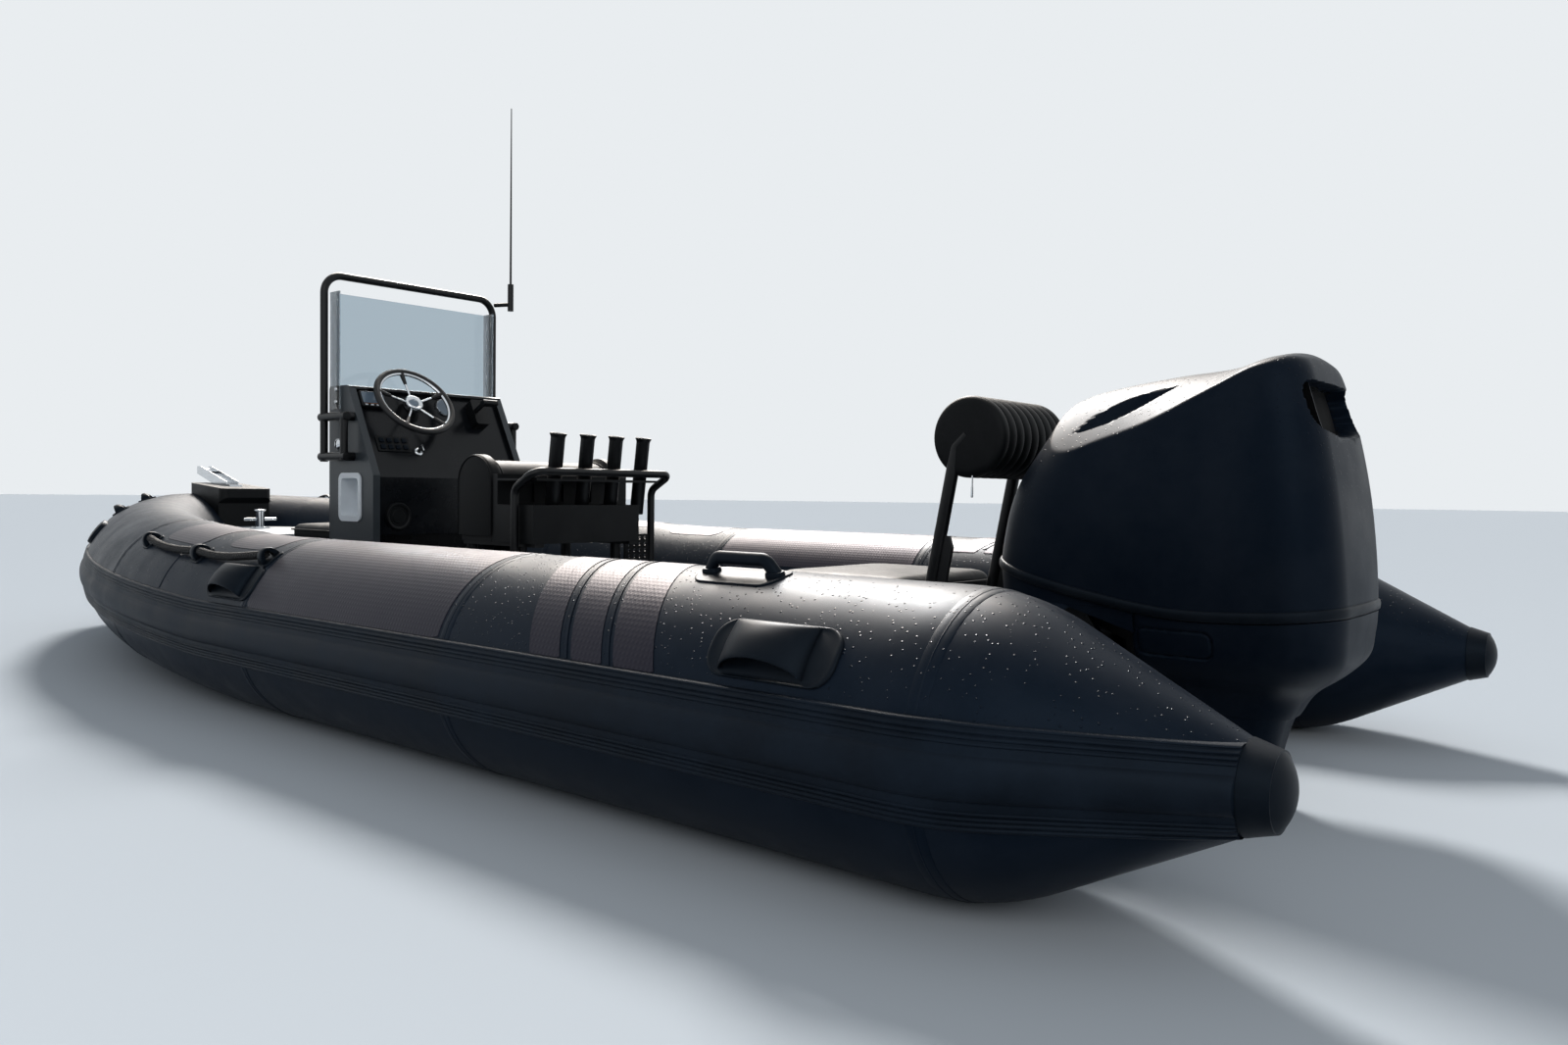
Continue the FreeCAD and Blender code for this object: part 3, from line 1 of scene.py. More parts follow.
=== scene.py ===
"""Dresses a rigid inflatable boat for rendering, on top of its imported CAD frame.

Metres throughout. +X is forward to the bow, +Y to port, +Z up, and the waterline is at z = 0.
"""

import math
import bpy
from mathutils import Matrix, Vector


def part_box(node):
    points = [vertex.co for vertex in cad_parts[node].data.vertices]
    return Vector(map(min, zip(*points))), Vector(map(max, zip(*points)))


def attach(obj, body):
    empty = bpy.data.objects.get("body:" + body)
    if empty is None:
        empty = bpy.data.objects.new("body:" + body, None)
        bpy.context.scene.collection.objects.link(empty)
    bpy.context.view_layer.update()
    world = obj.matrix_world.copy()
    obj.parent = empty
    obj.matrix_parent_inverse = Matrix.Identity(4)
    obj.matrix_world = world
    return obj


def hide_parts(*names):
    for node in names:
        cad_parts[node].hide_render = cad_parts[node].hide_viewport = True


bl_info = {
    "name": "Inflatable boat",
    "version": (1, 0, 0),
    "blender": (4, 5, 0),
    "location": "3D View > Sidebar > Boat",
    "description": "Builds a rigid inflatable boat's fabric, cushions, engine cowl and fittings",
    "category": "Object",
}

import bmesh
import bpy
import numpy as np
from bpy.props import FloatProperty, FloatVectorProperty, PointerProperty
from mathutils import Matrix, Vector

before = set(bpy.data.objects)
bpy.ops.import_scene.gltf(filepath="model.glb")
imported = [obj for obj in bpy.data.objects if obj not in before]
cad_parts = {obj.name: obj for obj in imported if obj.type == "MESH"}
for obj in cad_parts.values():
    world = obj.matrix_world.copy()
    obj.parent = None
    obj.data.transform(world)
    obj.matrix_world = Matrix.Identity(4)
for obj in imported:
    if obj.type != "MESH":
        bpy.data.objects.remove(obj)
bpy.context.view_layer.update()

# Tube centreline, as in the part's source
TUBE_R = 0.270
TUBE_Y = 0.955
TUBE_Z = 0.270
SHOULDER_X = -0.268
CONE_END_X = -0.651
CONE_END_R = 0.072
SHOULDER_R = 0.430
RISE_X = 2.260
RISE_R = 4.0
RISE = math.radians(2.5)
TURN_R = 4.730
NOSE_R = 0.290
TURN = math.acos((TURN_R - TUBE_Y) / (TURN_R - NOSE_R))
SEAM_AFT = 0.990
RISE_END = RISE_X + RISE_R * RISE
SEAM_BOW = RISE_END + TURN_R * math.radians(24)
TURN_END = RISE_END + TURN_R * TURN
NOSE_END = TURN_END + NOSE_R * (math.pi / 2 - TURN)


# Colour and nodes

MM_A_METRE = 1000
PATCH_MM = 160          # size of the broad patches in a finish
DROPS_A_METRE = 76.0
DROP_HEIGHT = 0.0012
DROP_ROUGHNESS = 0.05


def linear(code):
    """An sRGB hex colour as linear numbers: c / 12.92 below 0.04045, else ((c + 0.055) / 1.055) ** 2.4."""
    rgb = [int(code[i:i + 2], 16) / 255 for i in (0, 2, 4)]
    return [c / 12.92 if c <= 0.04045 else ((c + 0.055) / 1.055) ** 2.4 for c in rgb] + [1.0]


def add(tree, kind, inputs=None, **settings):
    """Adds a node with its settings, and sets or links its inputs."""
    made = tree.nodes.new(kind)
    for key, value in settings.items():
        setattr(made, key, value)
    for key, value in (inputs or {}).items():
        if isinstance(value, bpy.types.NodeSocket):
            tree.links.new(value, made.inputs[key])
        else:
            made.inputs[key].default_value = value
    return made


def pattern_height(tree, kind, place, size):
    """A surface pattern's height, 0 to 1, its features size millimetres apart."""
    if kind == "weave":
        waves = [add(tree, "ShaderNodeTexWave", {"Vector": place, "Scale": 1 / (size * 6.5)},
                     bands_direction=axis, wave_profile="SIN") for axis in "XY"]
        crossed = add(tree, "ShaderNodeMath", {0: waves[0].outputs["Fac"], 1: waves[1].outputs["Fac"]},
                      operation="MULTIPLY")
        return crossed.outputs[0]
    if kind == "pebble":
        cells = add(tree, "ShaderNodeTexVoronoi", {"Vector": place, "Scale": 1 / size}, feature="SMOOTH_F1")
        return cells.outputs["Distance"]
    if kind == "brushed":
        drawn = add(tree, "ShaderNodeMapping", {"Vector": place, "Scale": (0.03, 1.0, 1.0)})
        place = drawn.outputs[0]
    grain = add(tree, "ShaderNodeTexNoise", {"Vector": place, "Scale": 1 / size, "Detail": 3.0})
    return grain.outputs["Fac"]


def droplets(tree):
    """Drops of spray on upward faces, 0 to 1: balls of 3 mm round points about 13 mm apart.

    A drop shows where its ball meets the skin.
    """
    place = add(tree, "ShaderNodeTexCoord").outputs["Object"]
    cells = add(tree, "ShaderNodeTexVoronoi", {"Vector": place, "Scale": DROPS_A_METRE}, feature="F1")
    ball = add(tree, "ShaderNodeMapRange",
               {"Value": cells.outputs["Distance"], "From Min": 0.21, "From Max": 0.06},
               interpolation_type="SMOOTHSTEP")
    normal = add(tree, "ShaderNodeNewGeometry").outputs["Normal"]
    height = add(tree, "ShaderNodeSeparateXYZ", {0: normal}).outputs["Z"]
    upward = add(tree, "ShaderNodeMapRange", {"Value": height, "From Min": 0.05, "From Max": 0.45})
    both = add(tree, "ShaderNodeMath", {0: ball.outputs[0], 1: upward.outputs[0]}, operation="MULTIPLY")
    return both.outputs[0]


def make_material(name, code, roughness, kind="grain", size=2.0, depth=0.05, uneven=0.12, bloom=None,
                  uv=None, drops=False, **sockets):
    """A finish: a base colour that drifts in broad soft patches, a surface pattern and uneven gloss.

    size and depth are the pattern's pitch and height in millimetres; bloom is a paler colour that
    lies in the patches, as salt or dust does; uv names a map in metres that the pattern follows;
    drops adds beads of spray.
    """
    made = bpy.data.materials.new(name)
    made.use_nodes = True
    tree = made.node_tree
    shader = tree.nodes["Principled BSDF"]
    if uv:
        start = add(tree, "ShaderNodeUVMap", uv_map=uv).outputs[0]
    else:
        start = add(tree, "ShaderNodeTexCoord").outputs["Object"]
    place = add(tree, "ShaderNodeMapping", {"Vector": start, "Scale": [MM_A_METRE] * 3}).outputs[0]
    patches = add(tree, "ShaderNodeTexNoise",
                  {"Vector": place, "Scale": 1 / PATCH_MM, "Detail": 4.0, "Roughness": 0.62}).outputs["Fac"]
    share = add(tree, "ShaderNodeMapRange", {"Value": patches, "From Min": 0.38, "From Max": 0.68})
    base = linear(code)
    paler = linear(bloom) if bloom else [min(1.0, c * (1 + uneven) + 0.004) for c in base[:3]] + [1]
    mixed = add(tree, "ShaderNodeMix", {"Factor": share.outputs[0], 6: base, 7: paler}, data_type="RGBA")
    tree.links.new(mixed.outputs[2], shader.inputs["Base Color"])
    gloss = add(tree, "ShaderNodeMapRange", {"Value": patches, "From Min": 0.3, "From Max": 0.7,
                                             "To Min": max(0.02, roughness - uneven * 0.5),
                                             "To Max": min(1.0, roughness + uneven * 0.5)})
    rough = gloss.outputs[0]
    if drops:
        wet = droplets(tree)
        wetted = add(tree, "ShaderNodeMix", {0: wet, 2: rough, 3: DROP_ROUGHNESS}, data_type="FLOAT")
        rough = wetted.outputs[0]
    tree.links.new(rough, shader.inputs["Roughness"])
    if depth:
        height = pattern_height(tree, kind, place, size)
        bump = add(tree, "ShaderNodeBump",
                   {"Height": height, "Distance": depth / MM_A_METRE, "Strength": 1.0})
        if drops:
            bump = add(tree, "ShaderNodeBump", {"Height": wet, "Distance": DROP_HEIGHT, "Strength": 1.0,
                                                "Normal": bump.outputs[0]})
        tree.links.new(bump.outputs[0], shader.inputs["Normal"])
    for key, value in sockets.items():
        shader.inputs[key.replace("_", " ")].default_value = value
    return made


# Finishes: each name says the real material and how its surface was made. A specular tint is a painted
# reflection: the colour of a sky in the sheen, blue or violet, which the pale studio does not give.
PAINTED_SKY_TINT = (0.55, 0.75, 1.0, 1.0)
PAINTED_VIOLET_TINT = (0.86, 0.72, 1.0, 1.0)
FINISH = {
    # chlorosulphonated rubber on woven polyester: a soft navy-black satin skin, faintly grained, wet
    # with spray
    "coated_fabric": dict(code="0c1520", roughness=0.40, kind="grain", size=2.2, depth=0.10, uneven=0.16,
                          uv="skin", drops=True, Specular_IOR_Level=0.09, Specular_Tint=PAINTED_SKY_TINT),
    # wear layer of embossed fabric: rows of small raised squares, drawn 6 mm apart so that they show,
    # with a violet tint put into its sheen as a painted reflection
    "embossed_fabric": dict(code="0a0f17", roughness=0.41, kind="weave", size=6.0, depth=0.3, uneven=0.1,
                            uv="skin", Specular_IOR_Level=0.24, Specular_Tint=PAINTED_VIOLET_TINT),
    # extruded rubber strake: dull, with a dusty bloom
    "extruded_rubber": dict(code="0d1219", roughness=0.50, kind="grain", size=3.0, depth=0.12,
                            bloom="161d26", Specular_IOR_Level=0.12, Specular_Tint=PAINTED_SKY_TINT),
    # injection-moulded rubber fittings: black, a little shinier than the skin
    "moulded_rubber": dict(code="0a0f15", roughness=0.42, kind="grain", size=1.6, depth=0.08,
                           Specular_IOR_Level=0.1, Specular_Tint=PAINTED_SKY_TINT),
    # gelcoat sprayed in a mould: hard and glossy, with the slow waves of the laminate under it
    "black_gelcoat": dict(code="0a0d11", roughness=0.24, kind="grain", size=120.0, depth=0.12,
                          Specular_IOR_Level=0.2),
    "grey_gelcoat": dict(code="363b3f", roughness=0.32, kind="grain", size=120.0, depth=0.15, uneven=0.08,
                         Specular_IOR_Level=0.3),
    # non-slip deck: pale gelcoat with a pebbled roll
    "pale_gelcoat": dict(code="a9b0b6", roughness=0.42, kind="pebble", size=5.0, depth=0.5, bloom="999fa4"),
    # moulded ABS: a fine spark-eroded grain on black, nearly smooth on white
    "black_plastic": dict(code="0a0c0e", roughness=0.42, kind="pebble", size=1.4, depth=0.12,
                          Specular_IOR_Level=0.16),
    "white_plastic": dict(code="eef2f5", roughness=0.3, kind="grain", size=30.0, depth=0.15, uneven=0.04),
    # plaited polyester: dull fibres
    "braided_rope": dict(code="0b0c0e", roughness=0.7, kind="grain", size=1.2, depth=0.25,
                         Specular_IOR_Level=0.35),
    # polished stainless steel: bright, with fine drawn lines
    "polished_steel": dict(code="c9cccf", roughness=0.16, kind="brushed", size=1.2, depth=0.02, Metallic=1.0),
    # powder-coated steel tube: satin black with a slight orange peel
    "powder_coat": dict(code="0a0b0d", roughness=0.34, kind="pebble", size=1.1, depth=0.05,
                        Specular_IOR_Level=0.25),
    # knitted-back vinyl, finely grained
    "marine_vinyl": dict(code="090b0d", roughness=0.50, kind="pebble", size=2.4, depth=0.28,
                         Specular_IOR_Level=0.10),
    # sprayed matt enamel over a moulded housing, wet with spray
    "engine_paint": dict(code="0b131d", roughness=0.42, kind="grain", size=1.2, depth=0.03, uneven=0.1,
                         drops=True, Specular_IOR_Level=0.07, Specular_Tint=PAINTED_SKY_TINT),
    # painted shade: a near-black finish on the deep inside of the scoops and the vent, and on the vent
    # blade's sides, where shade falls
    "engine_hollow": dict(code="030304", roughness=0.8, kind="grain", size=2.0, depth=0.05,
                          Specular_IOR_Level=0.1),
    # cast aluminium under black paint: slightly coarse
    "bracket_paint": dict(code="0d0f12", roughness=0.42, kind="grain", size=2.0, depth=0.05,
                          Specular_IOR_Level=0.3),
    # dark glass over a display, its blue-grey colour a painted reflection of the sky, and an amber lens
    # strip, both smooth
    "display_glass": dict(code="6f7f8d", roughness=0.08, depth=0.0, uneven=0.04),
    "amber_lens": dict(code="c87a2c", roughness=0.3, depth=0.0, uneven=0.04),
    # moulded foam over the wheel's rim: dull and faintly porous
    "grip_foam": dict(code="0d0d0f", roughness=0.50, kind="grain", size=1.2, depth=0.12,
                      Specular_IOR_Level=0.35),
}
MADE = {}


def finish(name):
    """The material of a finish, made once."""
    if name not in MADE:
        MADE[name] = make_material(name, **FINISH[name])
    return MADE[name]


# Meshes: a part is (points, faces, uv), and a piece is one or more parts with their finishes

DOUBLE = 1e-6           # points nearer than this are one


def grid_part(points, loop_u=False, loop_v=False, cap=(False, False), uv=None, flip=False):
    """Quads between neighbours of a grid of points, rows by columns.

    loop_u joins the last row to the first and loop_v the last column to the first; cap closes the
    first and the last row by one face each; flip turns the faces over.
    """
    rows, columns = points.shape[:2]
    index = np.arange(rows * columns).reshape(rows, columns)
    ring = np.vstack([index, index[:1]]) if loop_u else index
    ring = np.hstack([ring, ring[:, :1]]) if loop_v else ring
    quads = np.stack([ring[:-1, :-1], ring[1:, :-1], ring[1:, 1:], ring[:-1, 1:]], -1)
    faces = quads.reshape(-1, 4).tolist()
    if cap[0]:
        faces.append(index[0].tolist())
    if cap[1]:
        faces.append(index[-1][::-1].tolist())
    if flip:
        faces = [f[::-1] for f in faces]
    flat = None if uv is None else uv.reshape(-1, 2)
    return points.reshape(-1, 3), faces, flat


def mirrored(part):
    """A part's starboard twin."""
    points, faces, uv = part
    return points * [1, -1, 1], [f[::-1] for f in faces], uv


def unchanged(part):
    """A part as it is, on the port side."""
    return part


SIDES = (("port", unchanged), ("starboard", mirrored))


def piece(name, parts, body="boat", replaces=(), crease=40.0, recalculate=False):
    """Makes parts into one object that rides on a body.

    parts are (part, finish) pairs, where finish is one name or one for each face.
    """
    points, faces, uvs, finishes, indices = [], [], [], [], []
    start = 0
    for (co, quads, uv), look in parts:
        points.append(co)
        faces += [[i + start for i in f] for f in quads]
        uvs.append(np.zeros((len(co), 2)) if uv is None else uv)
        names = look if isinstance(look, list) else [look] * len(quads)
        finishes += [n for n in dict.fromkeys(names) if n not in finishes]
        indices += [finishes.index(n) for n in names]
        start += len(co)
    mesh = bpy.data.meshes.new(name)
    mesh.from_pydata(np.vstack(points).tolist(), [], faces)
    for look in finishes:
        mesh.materials.append(finish(look))
    mesh.polygons.foreach_set("material_index", np.array(indices, np.int32))
    corner = np.zeros(len(mesh.loops), np.int32)
    mesh.loops.foreach_get("vertex_index", corner)
    if any(FINISH[look].get("uv") for look in finishes):
        mesh.uv_layers.new(name="skin").data.foreach_set("uv", np.vstack(uvs)[corner].ravel())
    if recalculate:
        set_outward(mesh)
    mesh.shade_smooth()
    mesh.set_sharp_from_angle(angle=math.radians(crease))
    made = bpy.data.objects.new(name, mesh)
    bpy.context.scene.collection.objects.link(made)
    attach(made, body)
    if replaces:
        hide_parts(*replaces)
    return made


def set_outward(mesh):
    """Merges a mesh's doubled points and turns its faces outwards."""
    work = bmesh.new()
    work.from_mesh(mesh)
    bmesh.ops.remove_doubles(work, verts=work.verts, dist=DOUBLE)
    bmesh.ops.recalc_face_normals(work, faces=work.faces)
    work.to_mesh(mesh)
    work.free()


# The tube as a surface of (run, around)

SUNK = 0.0006           # a layer's edge goes this far into the skin


def centreline(run):
    """The port tube's centreline: place, forward, outboard and up vectors at each arc length.

    Straight to RISE_X, an arc upwards of radius RISE_R, then in that tilted plane an arc inboard of
    radius TURN_R and one of NOSE_R, each as centre + radius * (sin, cos) of its angle.
    """
    run = np.asarray(run, float)
    pitch = np.clip((run - RISE_X) / RISE_R, 0, RISE)
    turn = np.clip((run - RISE_END) / TURN_R, 0, TURN)
    nose = np.clip((run - TURN_END) / NOSE_R, 0, None)
    angle = turn + nose
    ahead = TURN_R * np.sin(turn) + NOSE_R * (np.sin(angle) - np.sin(turn))
    inboard = TURN_R * (1 - np.cos(turn)) + NOSE_R * (np.cos(turn) - np.cos(angle))
    flat = np.minimum(run, RISE_X)
    x = flat + RISE_R * np.sin(pitch) + ahead * math.cos(RISE)
    z = TUBE_Z + RISE_R * (1 - np.cos(pitch)) + ahead * math.sin(RISE)
    place = np.stack([x, TUBE_Y - inboard, z], -1)
    zero = np.zeros_like(run)
    ahead_way = np.stack([np.cos(pitch), zero, np.sin(pitch)], -1)
    up = np.stack([-np.sin(pitch), zero, np.cos(pitch)], -1)
    port = np.stack([zero, zero + 1, zero], -1)
    c, s = np.cos(angle)[..., None], np.sin(angle)[..., None]
    return place, ahead_way * c - port * s, port * c + ahead_way * s, up


def tube_radius(run):
    """The tube's radius: constant, then a shoulder arc and a straight cone aft."""
    slope = math.atan((TUBE_R - CONE_END_R) / (SHOULDER_X - CONE_END_X))
    back = SHOULDER_R * math.tan(slope / 2)
    start = SHOULDER_X + back
    end = start - SHOULDER_R * math.sin(slope)
    run = np.asarray(run, float)
    on_arc = TUBE_R - SHOULDER_R + np.sqrt(np.maximum(0, SHOULDER_R ** 2 - (run - start) ** 2))
    at_end = TUBE_R - SHOULDER_R * (1 - math.cos(slope))
    on_cone = at_end - (end - run) * math.tan(slope)
    return np.where(run > start, TUBE_R, np.where(run > end, on_arc, on_cone))


def on_tube(run, around, lift=0.0):
    """Points on the port tube: around is the angle up from the outboard side, lift the height off it."""
    run, around = np.broadcast_arrays(run, around)
    place, _, side, up = centreline(run)
    reach = (tube_radius(run) + lift)[..., None]
    return place + reach * (np.cos(around)[..., None] * side + np.sin(around)[..., None] * up)


def skin_uv(run, around):
    """The skin's own map, in metres along and around the tube."""
    run, around = np.broadcast_arrays(run, around)
    return np.stack([run, around * TUBE_R], -1)


def chamber(first, last):
    """One length of tube as a grid of runs, 20 mm apart, by 96 steps of angle."""
    run = np.linspace(first, last, int((last - first) / 0.02))[:, None]
    around = np.linspace(0, 2 * math.pi, 97)[None, :]
    return grid_part(on_tube(run, around), uv=skin_uv(run, around), flip=True)


def band(first, last, low, high, lift):
    """A thin layer glued on the tube, between two runs and two angles.

    Its height is lift times the lesser of two edge profiles, which fall to the skin over 1.2 * lift.
    """
    soft = lift * 1.2
    angle = soft / TUBE_R
    run = np.concatenate([[first, first + soft * 0.15], np.linspace(first + soft, last - soft, 4),
                          [last - soft * 0.15, last]])
    around = np.concatenate([[low, low + angle * 0.15], np.linspace(low + angle, high - angle, 25),
                             [high - angle * 0.15, high]])
    rise, edge = (np.concatenate([[-1, 0.55], np.ones(len(line) - 4), [0.55, -1]]) for line in (run, around))
    height = np.maximum(lift * np.minimum(rise[:, None], edge[None, :]), -SUNK)
    run, around = run[:, None], around[None, :]
    return grid_part(on_tube(run, around, height), uv=skin_uv(run, around), flip=True)


class BoatSizes(bpy.types.PropertyGroup):
    """Sizes that a user would change."""
    stripe_lift: FloatProperty(name="Stripe thickness", description="Height of the glued fabric layers",
                               default=0.0014, min=0.0005, max=0.004, unit="LENGTH")
    tape_width: FloatProperty(name="Seam tape", description="Width of the tapes over the tube's seams",
                              default=0.034, min=0.01, max=0.08, unit="LENGTH")
    floor_colour: FloatVectorProperty(name="Floor", description="Colour of the studio floor", subtype="COLOR",
                                      default=linear("d3d8dc")[:3], min=0, max=1)


# CAD nodes that keep their own shape, by finish
NODE_FINISH = {
    "black_gelcoat": ("hull", "transom"),
    "pale_gelcoat": ("deck", "bow_deck", "stern_box", "stern_lid", "front_seat_box"),
    "grey_gelcoat": ("console",),
    "moulded_rubber": ("cone_caps",),
    "black_plastic": ("bow_step", "throttle", "seat_pod", "seat_panel", "helm_boss"),
    "white_plastic": ("niche_rim",),
    "polished_steel": ("anchor_roller", "bow_eye", "stern_eyes", "propeller"),
    "powder_coat": ("screen_frame", "seat_frame", "seat_rail", "footrest", "backrest_frame", "aerial"),
    "bracket_paint": ("clamp_bracket", "swivel_bracket"),
    "engine_paint": ("front_pan", "side_aprons", "driveshaft_housing", "gearcase"),
}
# the console's black part: half width between its side walls, forward end, top and bottom
DASH_HALF, DASH_FWD, DASH_TOP, DASH_FOOT = 0.3303, 3.06, 1.1035, 0.189
# the windscreen's two tints: name, colour, alpha
SCREEN_TINTS = (("smoked_acrylic", "7f97a6", 0.62), ("smoked_acrylic_wing", "545b61", 0.84))


class BOAT_OT_finishes(bpy.types.Operator):
    """Gives every CAD node that shows its finish"""
    bl_idname = "boat.finishes"
    bl_label = "Finishes"

    def execute(self, context):
        for look, names in NODE_FINISH.items():
            for name in names:
                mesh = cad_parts[name].data
                mesh.materials.clear()
                mesh.materials.append(finish(look))
        # the console's dash and foot recess, between its side walls, are black
        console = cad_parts["console"].data
        console.materials.append(finish("black_gelcoat"))
        middle = np.zeros(len(console.polygons) * 3)
        console.polygons.foreach_get("center", middle)
        x, y, z = middle.reshape(-1, 3).T
        between = (np.abs(y) < DASH_HALF) & (x < DASH_FWD) & (z < DASH_TOP) & (z > DASH_FOOT)
        console.polygons.foreach_set("material_index", between.astype(np.int32))
        return {"FINISHED"}


class BOAT_OT_screen(bpy.types.Operator):
    """The tinted acrylic windscreen"""
    bl_idname = "boat.screen"
    bl_label = "Windscreen"

    def execute(self, context):
        # cast acrylic: clear with a cool smoke tint and crisp reflections, denser through the wings
        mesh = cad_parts["windscreen"].data
        mesh.materials.clear()
        for name, code, alpha in SCREEN_TINTS:
            made = bpy.data.materials.new(name)
            made.use_nodes = True
            shader = made.node_tree.nodes["Principled BSDF"]
            for key, value in (("Base Color", linear(code)), ("Roughness", 0.03), ("IOR", 1.49),
                               ("Transmission Weight", 1.0), ("Alpha", alpha)):
                shader.inputs[key].default_value = value
            mesh.materials.append(made)
        for face in mesh.polygons:
            face.material_index = int(abs(face.normal.y) > 0.9)
        return {"FINISHED"}


class BOAT_OT_tubes(bpy.types.Operator):
    """The five air chambers with their skin map"""
    bl_idname = "boat.tubes"
    bl_label = "Air tubes"

    def execute(self, context):
        aft = chamber(CONE_END_X, SEAM_AFT)
        mid = chamber(SEAM_AFT, SEAM_BOW)
        bow = chamber(SEAM_BOW, NOSE_END)
        for side, twin in SIDES:
            for place, part in (("aft", aft), ("mid", mid)):
                piece(f"skin_{side}_{place}", [(twin(part), "coated_fabric")],
                      replaces=[f"tube_{side}_{place}"])
        piece("skin_bow", [(bow, "coated_fabric"), (mirrored(bow), "coated_fabric")], replaces=["tube_bow"],
              recalculate=True)
        return {"FINISHED"}


def rounded_loop(half_x, half_y, corner, steps, inset=0.0):
    """Points once round a rounded rectangle about the origin: a quarter circle at each of its corners.

    A quarter's radius is corner - inset about the corner circle's own centre.
    """
    turn = np.linspace(0, math.pi / 2, steps)
    radius = corner - inset
    quarters = []
    for k, (sx, sy) in enumerate(((1, 1), (-1, 1), (-1, -1), (1, -1))):
        angle = turn + k * math.pi / 2
        quarters.append(np.stack([sx * (half_x - corner) + radius * np.cos(angle),
                                  sy * (half_y - corner) + radius * np.sin(angle)], -1))
    return np.vstack(quarters)


def line_lengths(path):
    """The length along a line of points up to each of them."""
    return np.concatenate([[0], np.cumsum(np.linalg.norm(np.diff(path, axis=0), axis=1))])


def rounded_outline(first, last, low, high, corner, slant=0.0, count=120):
    """A rounded rectangle on the skin as (run, around), its points evenly spaced.

    Sides are in metres along the tube and radians round it; slant shifts the run by that much a radian.
    """
    half_x, half_y = (last - first) / 2, (high - low) / 2 * TUBE_R
    corner = min(corner, half_x * 0.999, half_y * 0.999)
    loop = rounded_loop(half_x, half_y, corner, 13)
    loop = np.vstack([loop, loop[:1]])
    gone = line_lengths(loop)
    even = np.linspace(0, gone[-1], count + 1)[:-1]
    flat = np.stack([np.interp(even, gone, loop[:, 0]), np.interp(even, gone, loop[:, 1])], -1)
    around = (low + high) / 2 + flat[:, 1] / TUBE_R
    return np.stack([(first + last) / 2 + flat[:, 0] + slant * (around - low), around], -1)


def tube_pad(outline, lift, bead=0.0, soft=0.004):
    """A layer glued on the skin inside an outline: rings of the outline shrunk to its middle.

    Its rim runs down into the skin; bead adds a raised edge of that height, its width set by soft.
    """
    middle = outline.mean(0)
    reach = np.abs((outline - middle) * [1, TUBE_R]).max()
    s = soft / reach
    # share of the outline, height over the skin
    rings = [(1.0, -0.0008), (1.0, lift * 0.6), (1 - 0.35 * s, lift + bead * 0.7), (1 - s, lift + bead),
             (1 - 1.8 * s, lift + bead * 0.5), (1 - 2.6 * s, lift)]
    rings += [(k, lift) for k in np.linspace(1 - 2.6 * s, 0.0, 12)[1:]]
    scale, height = np.array(rings).T
    where = middle + (outline - middle) * scale[:, None, None]
    run, around = where[..., 0], where[..., 1]
    return grid_part(on_tube(run, around, height[:, None]), loop_v=True, uv=skin_uv(run, around))


def both_sides(parts):
    """Port parts and their starboard twins."""
    return parts + [(mirrored(part), look) for part, look in parts]


STRAKE_HALF = 0.085
CONE_STRAKE_HALF = 0.07         # at the cone's end


def strake_thickness(height):
    """The strake's section, its thickness at a height from the middle: a 6 mm band with four ribs a side
    and a round bead of 17 mm in the middle.

    A rib stands 3.4 mm * cos(90 deg * away)^0.7 within 3.4 mm, on a pitch of 9 mm. The bead is
    5.5 + 11.5 * sqrt(1 - (h / 36)^2.2) millimetres at height h.
    """
    h = np.abs(height) * MM_A_METRE
    t = np.full_like(h, 6.0)
    for k in range(4):
        away = np.clip(np.abs(h - (81.5 - 9.0 * k)) / 3.4, 0, 1)
        t += 3.4 * np.cos(away * math.pi / 2) ** 0.7 * (away < 1)
    inside = np.clip(h / 36, 0, 1)
    bead = 5.5 + 11.5 * np.sqrt(1 - inside ** 2.2)
    t = np.where(h < 36, np.maximum(bead, 6.0), t)
    return t / MM_A_METRE


def strake_part():
    """The strake as its section carried along the whole tube, its heights drawn in over the cone."""
    run = np.concatenate([np.linspace(CONE_END_X, SHOULDER_X, 26),
                          np.arange(SHOULDER_X + 0.03, NOSE_END - 0.01, 0.03), [NOSE_END]])
    low, high = -STRAKE_HALF, STRAKE_HALF
    h = np.concatenate([[low, low], np.linspace(low, high, 101), [high, high]])
    t = np.concatenate([[0.0, 0.004], strake_thickness(h[2:-2]), [0.004, 0.0]])
    shrink = np.interp(run, [CONE_END_X, SHOULDER_X], [CONE_STRAKE_HALF / STRAKE_HALF, 1.0])[:, None]
    thick = t[None, :] * np.ones_like(shrink)
    rise = h[None, :] * shrink
    radius = tube_radius(run)[:, None] + thick
    around = np.arcsin(np.clip(rise / radius, -1, 1))
    runs = run[:, None] * np.ones_like(around)
    return grid_part(on_tube(runs, around, thick), uv=skin_uv(runs, around), flip=True)


def strap_part(run, around, length, width, rise, thick):
    """A wide moulded strap that arches off its pad: rise * (1 - u^2)^0.75 along it, narrowest in the middle.

    Its section is a flat rounded bar whose edges roll under, closed round v.
    """
    u = np.linspace(-1, 1, 41)[:, None]
    turn = np.linspace(0, 2 * math.pi, 25)[:-1][None, :]
    across = np.sign(np.cos(turn)) * np.abs(np.cos(turn)) ** 0.35
    through = np.sign(np.sin(turn)) * np.abs(np.sin(turn)) ** 0.8
    half = width / 2 * (1.0 - 0.22 * (1 - u ** 2)) * (1 + 0.14 * u ** 6)
    arch = rise * (1 - u ** 2) ** 0.75
    roll = -0.007 * across ** 2 * (1 - u ** 2)
    height = 0.004 + arch + roll + through * thick / 2 * (1 + 0.5 * np.abs(across) ** 4)
    tilt = -0.006 * (1 - u ** 2) * across
    where = run + u * length / 2 + 0 * turn
    around = around + across * half / TUBE_R
    return grid_part(on_tube(where, around, height + tilt), loop_v=True, cap=(True, True),
                     uv=skin_uv(where, around), flip=True)


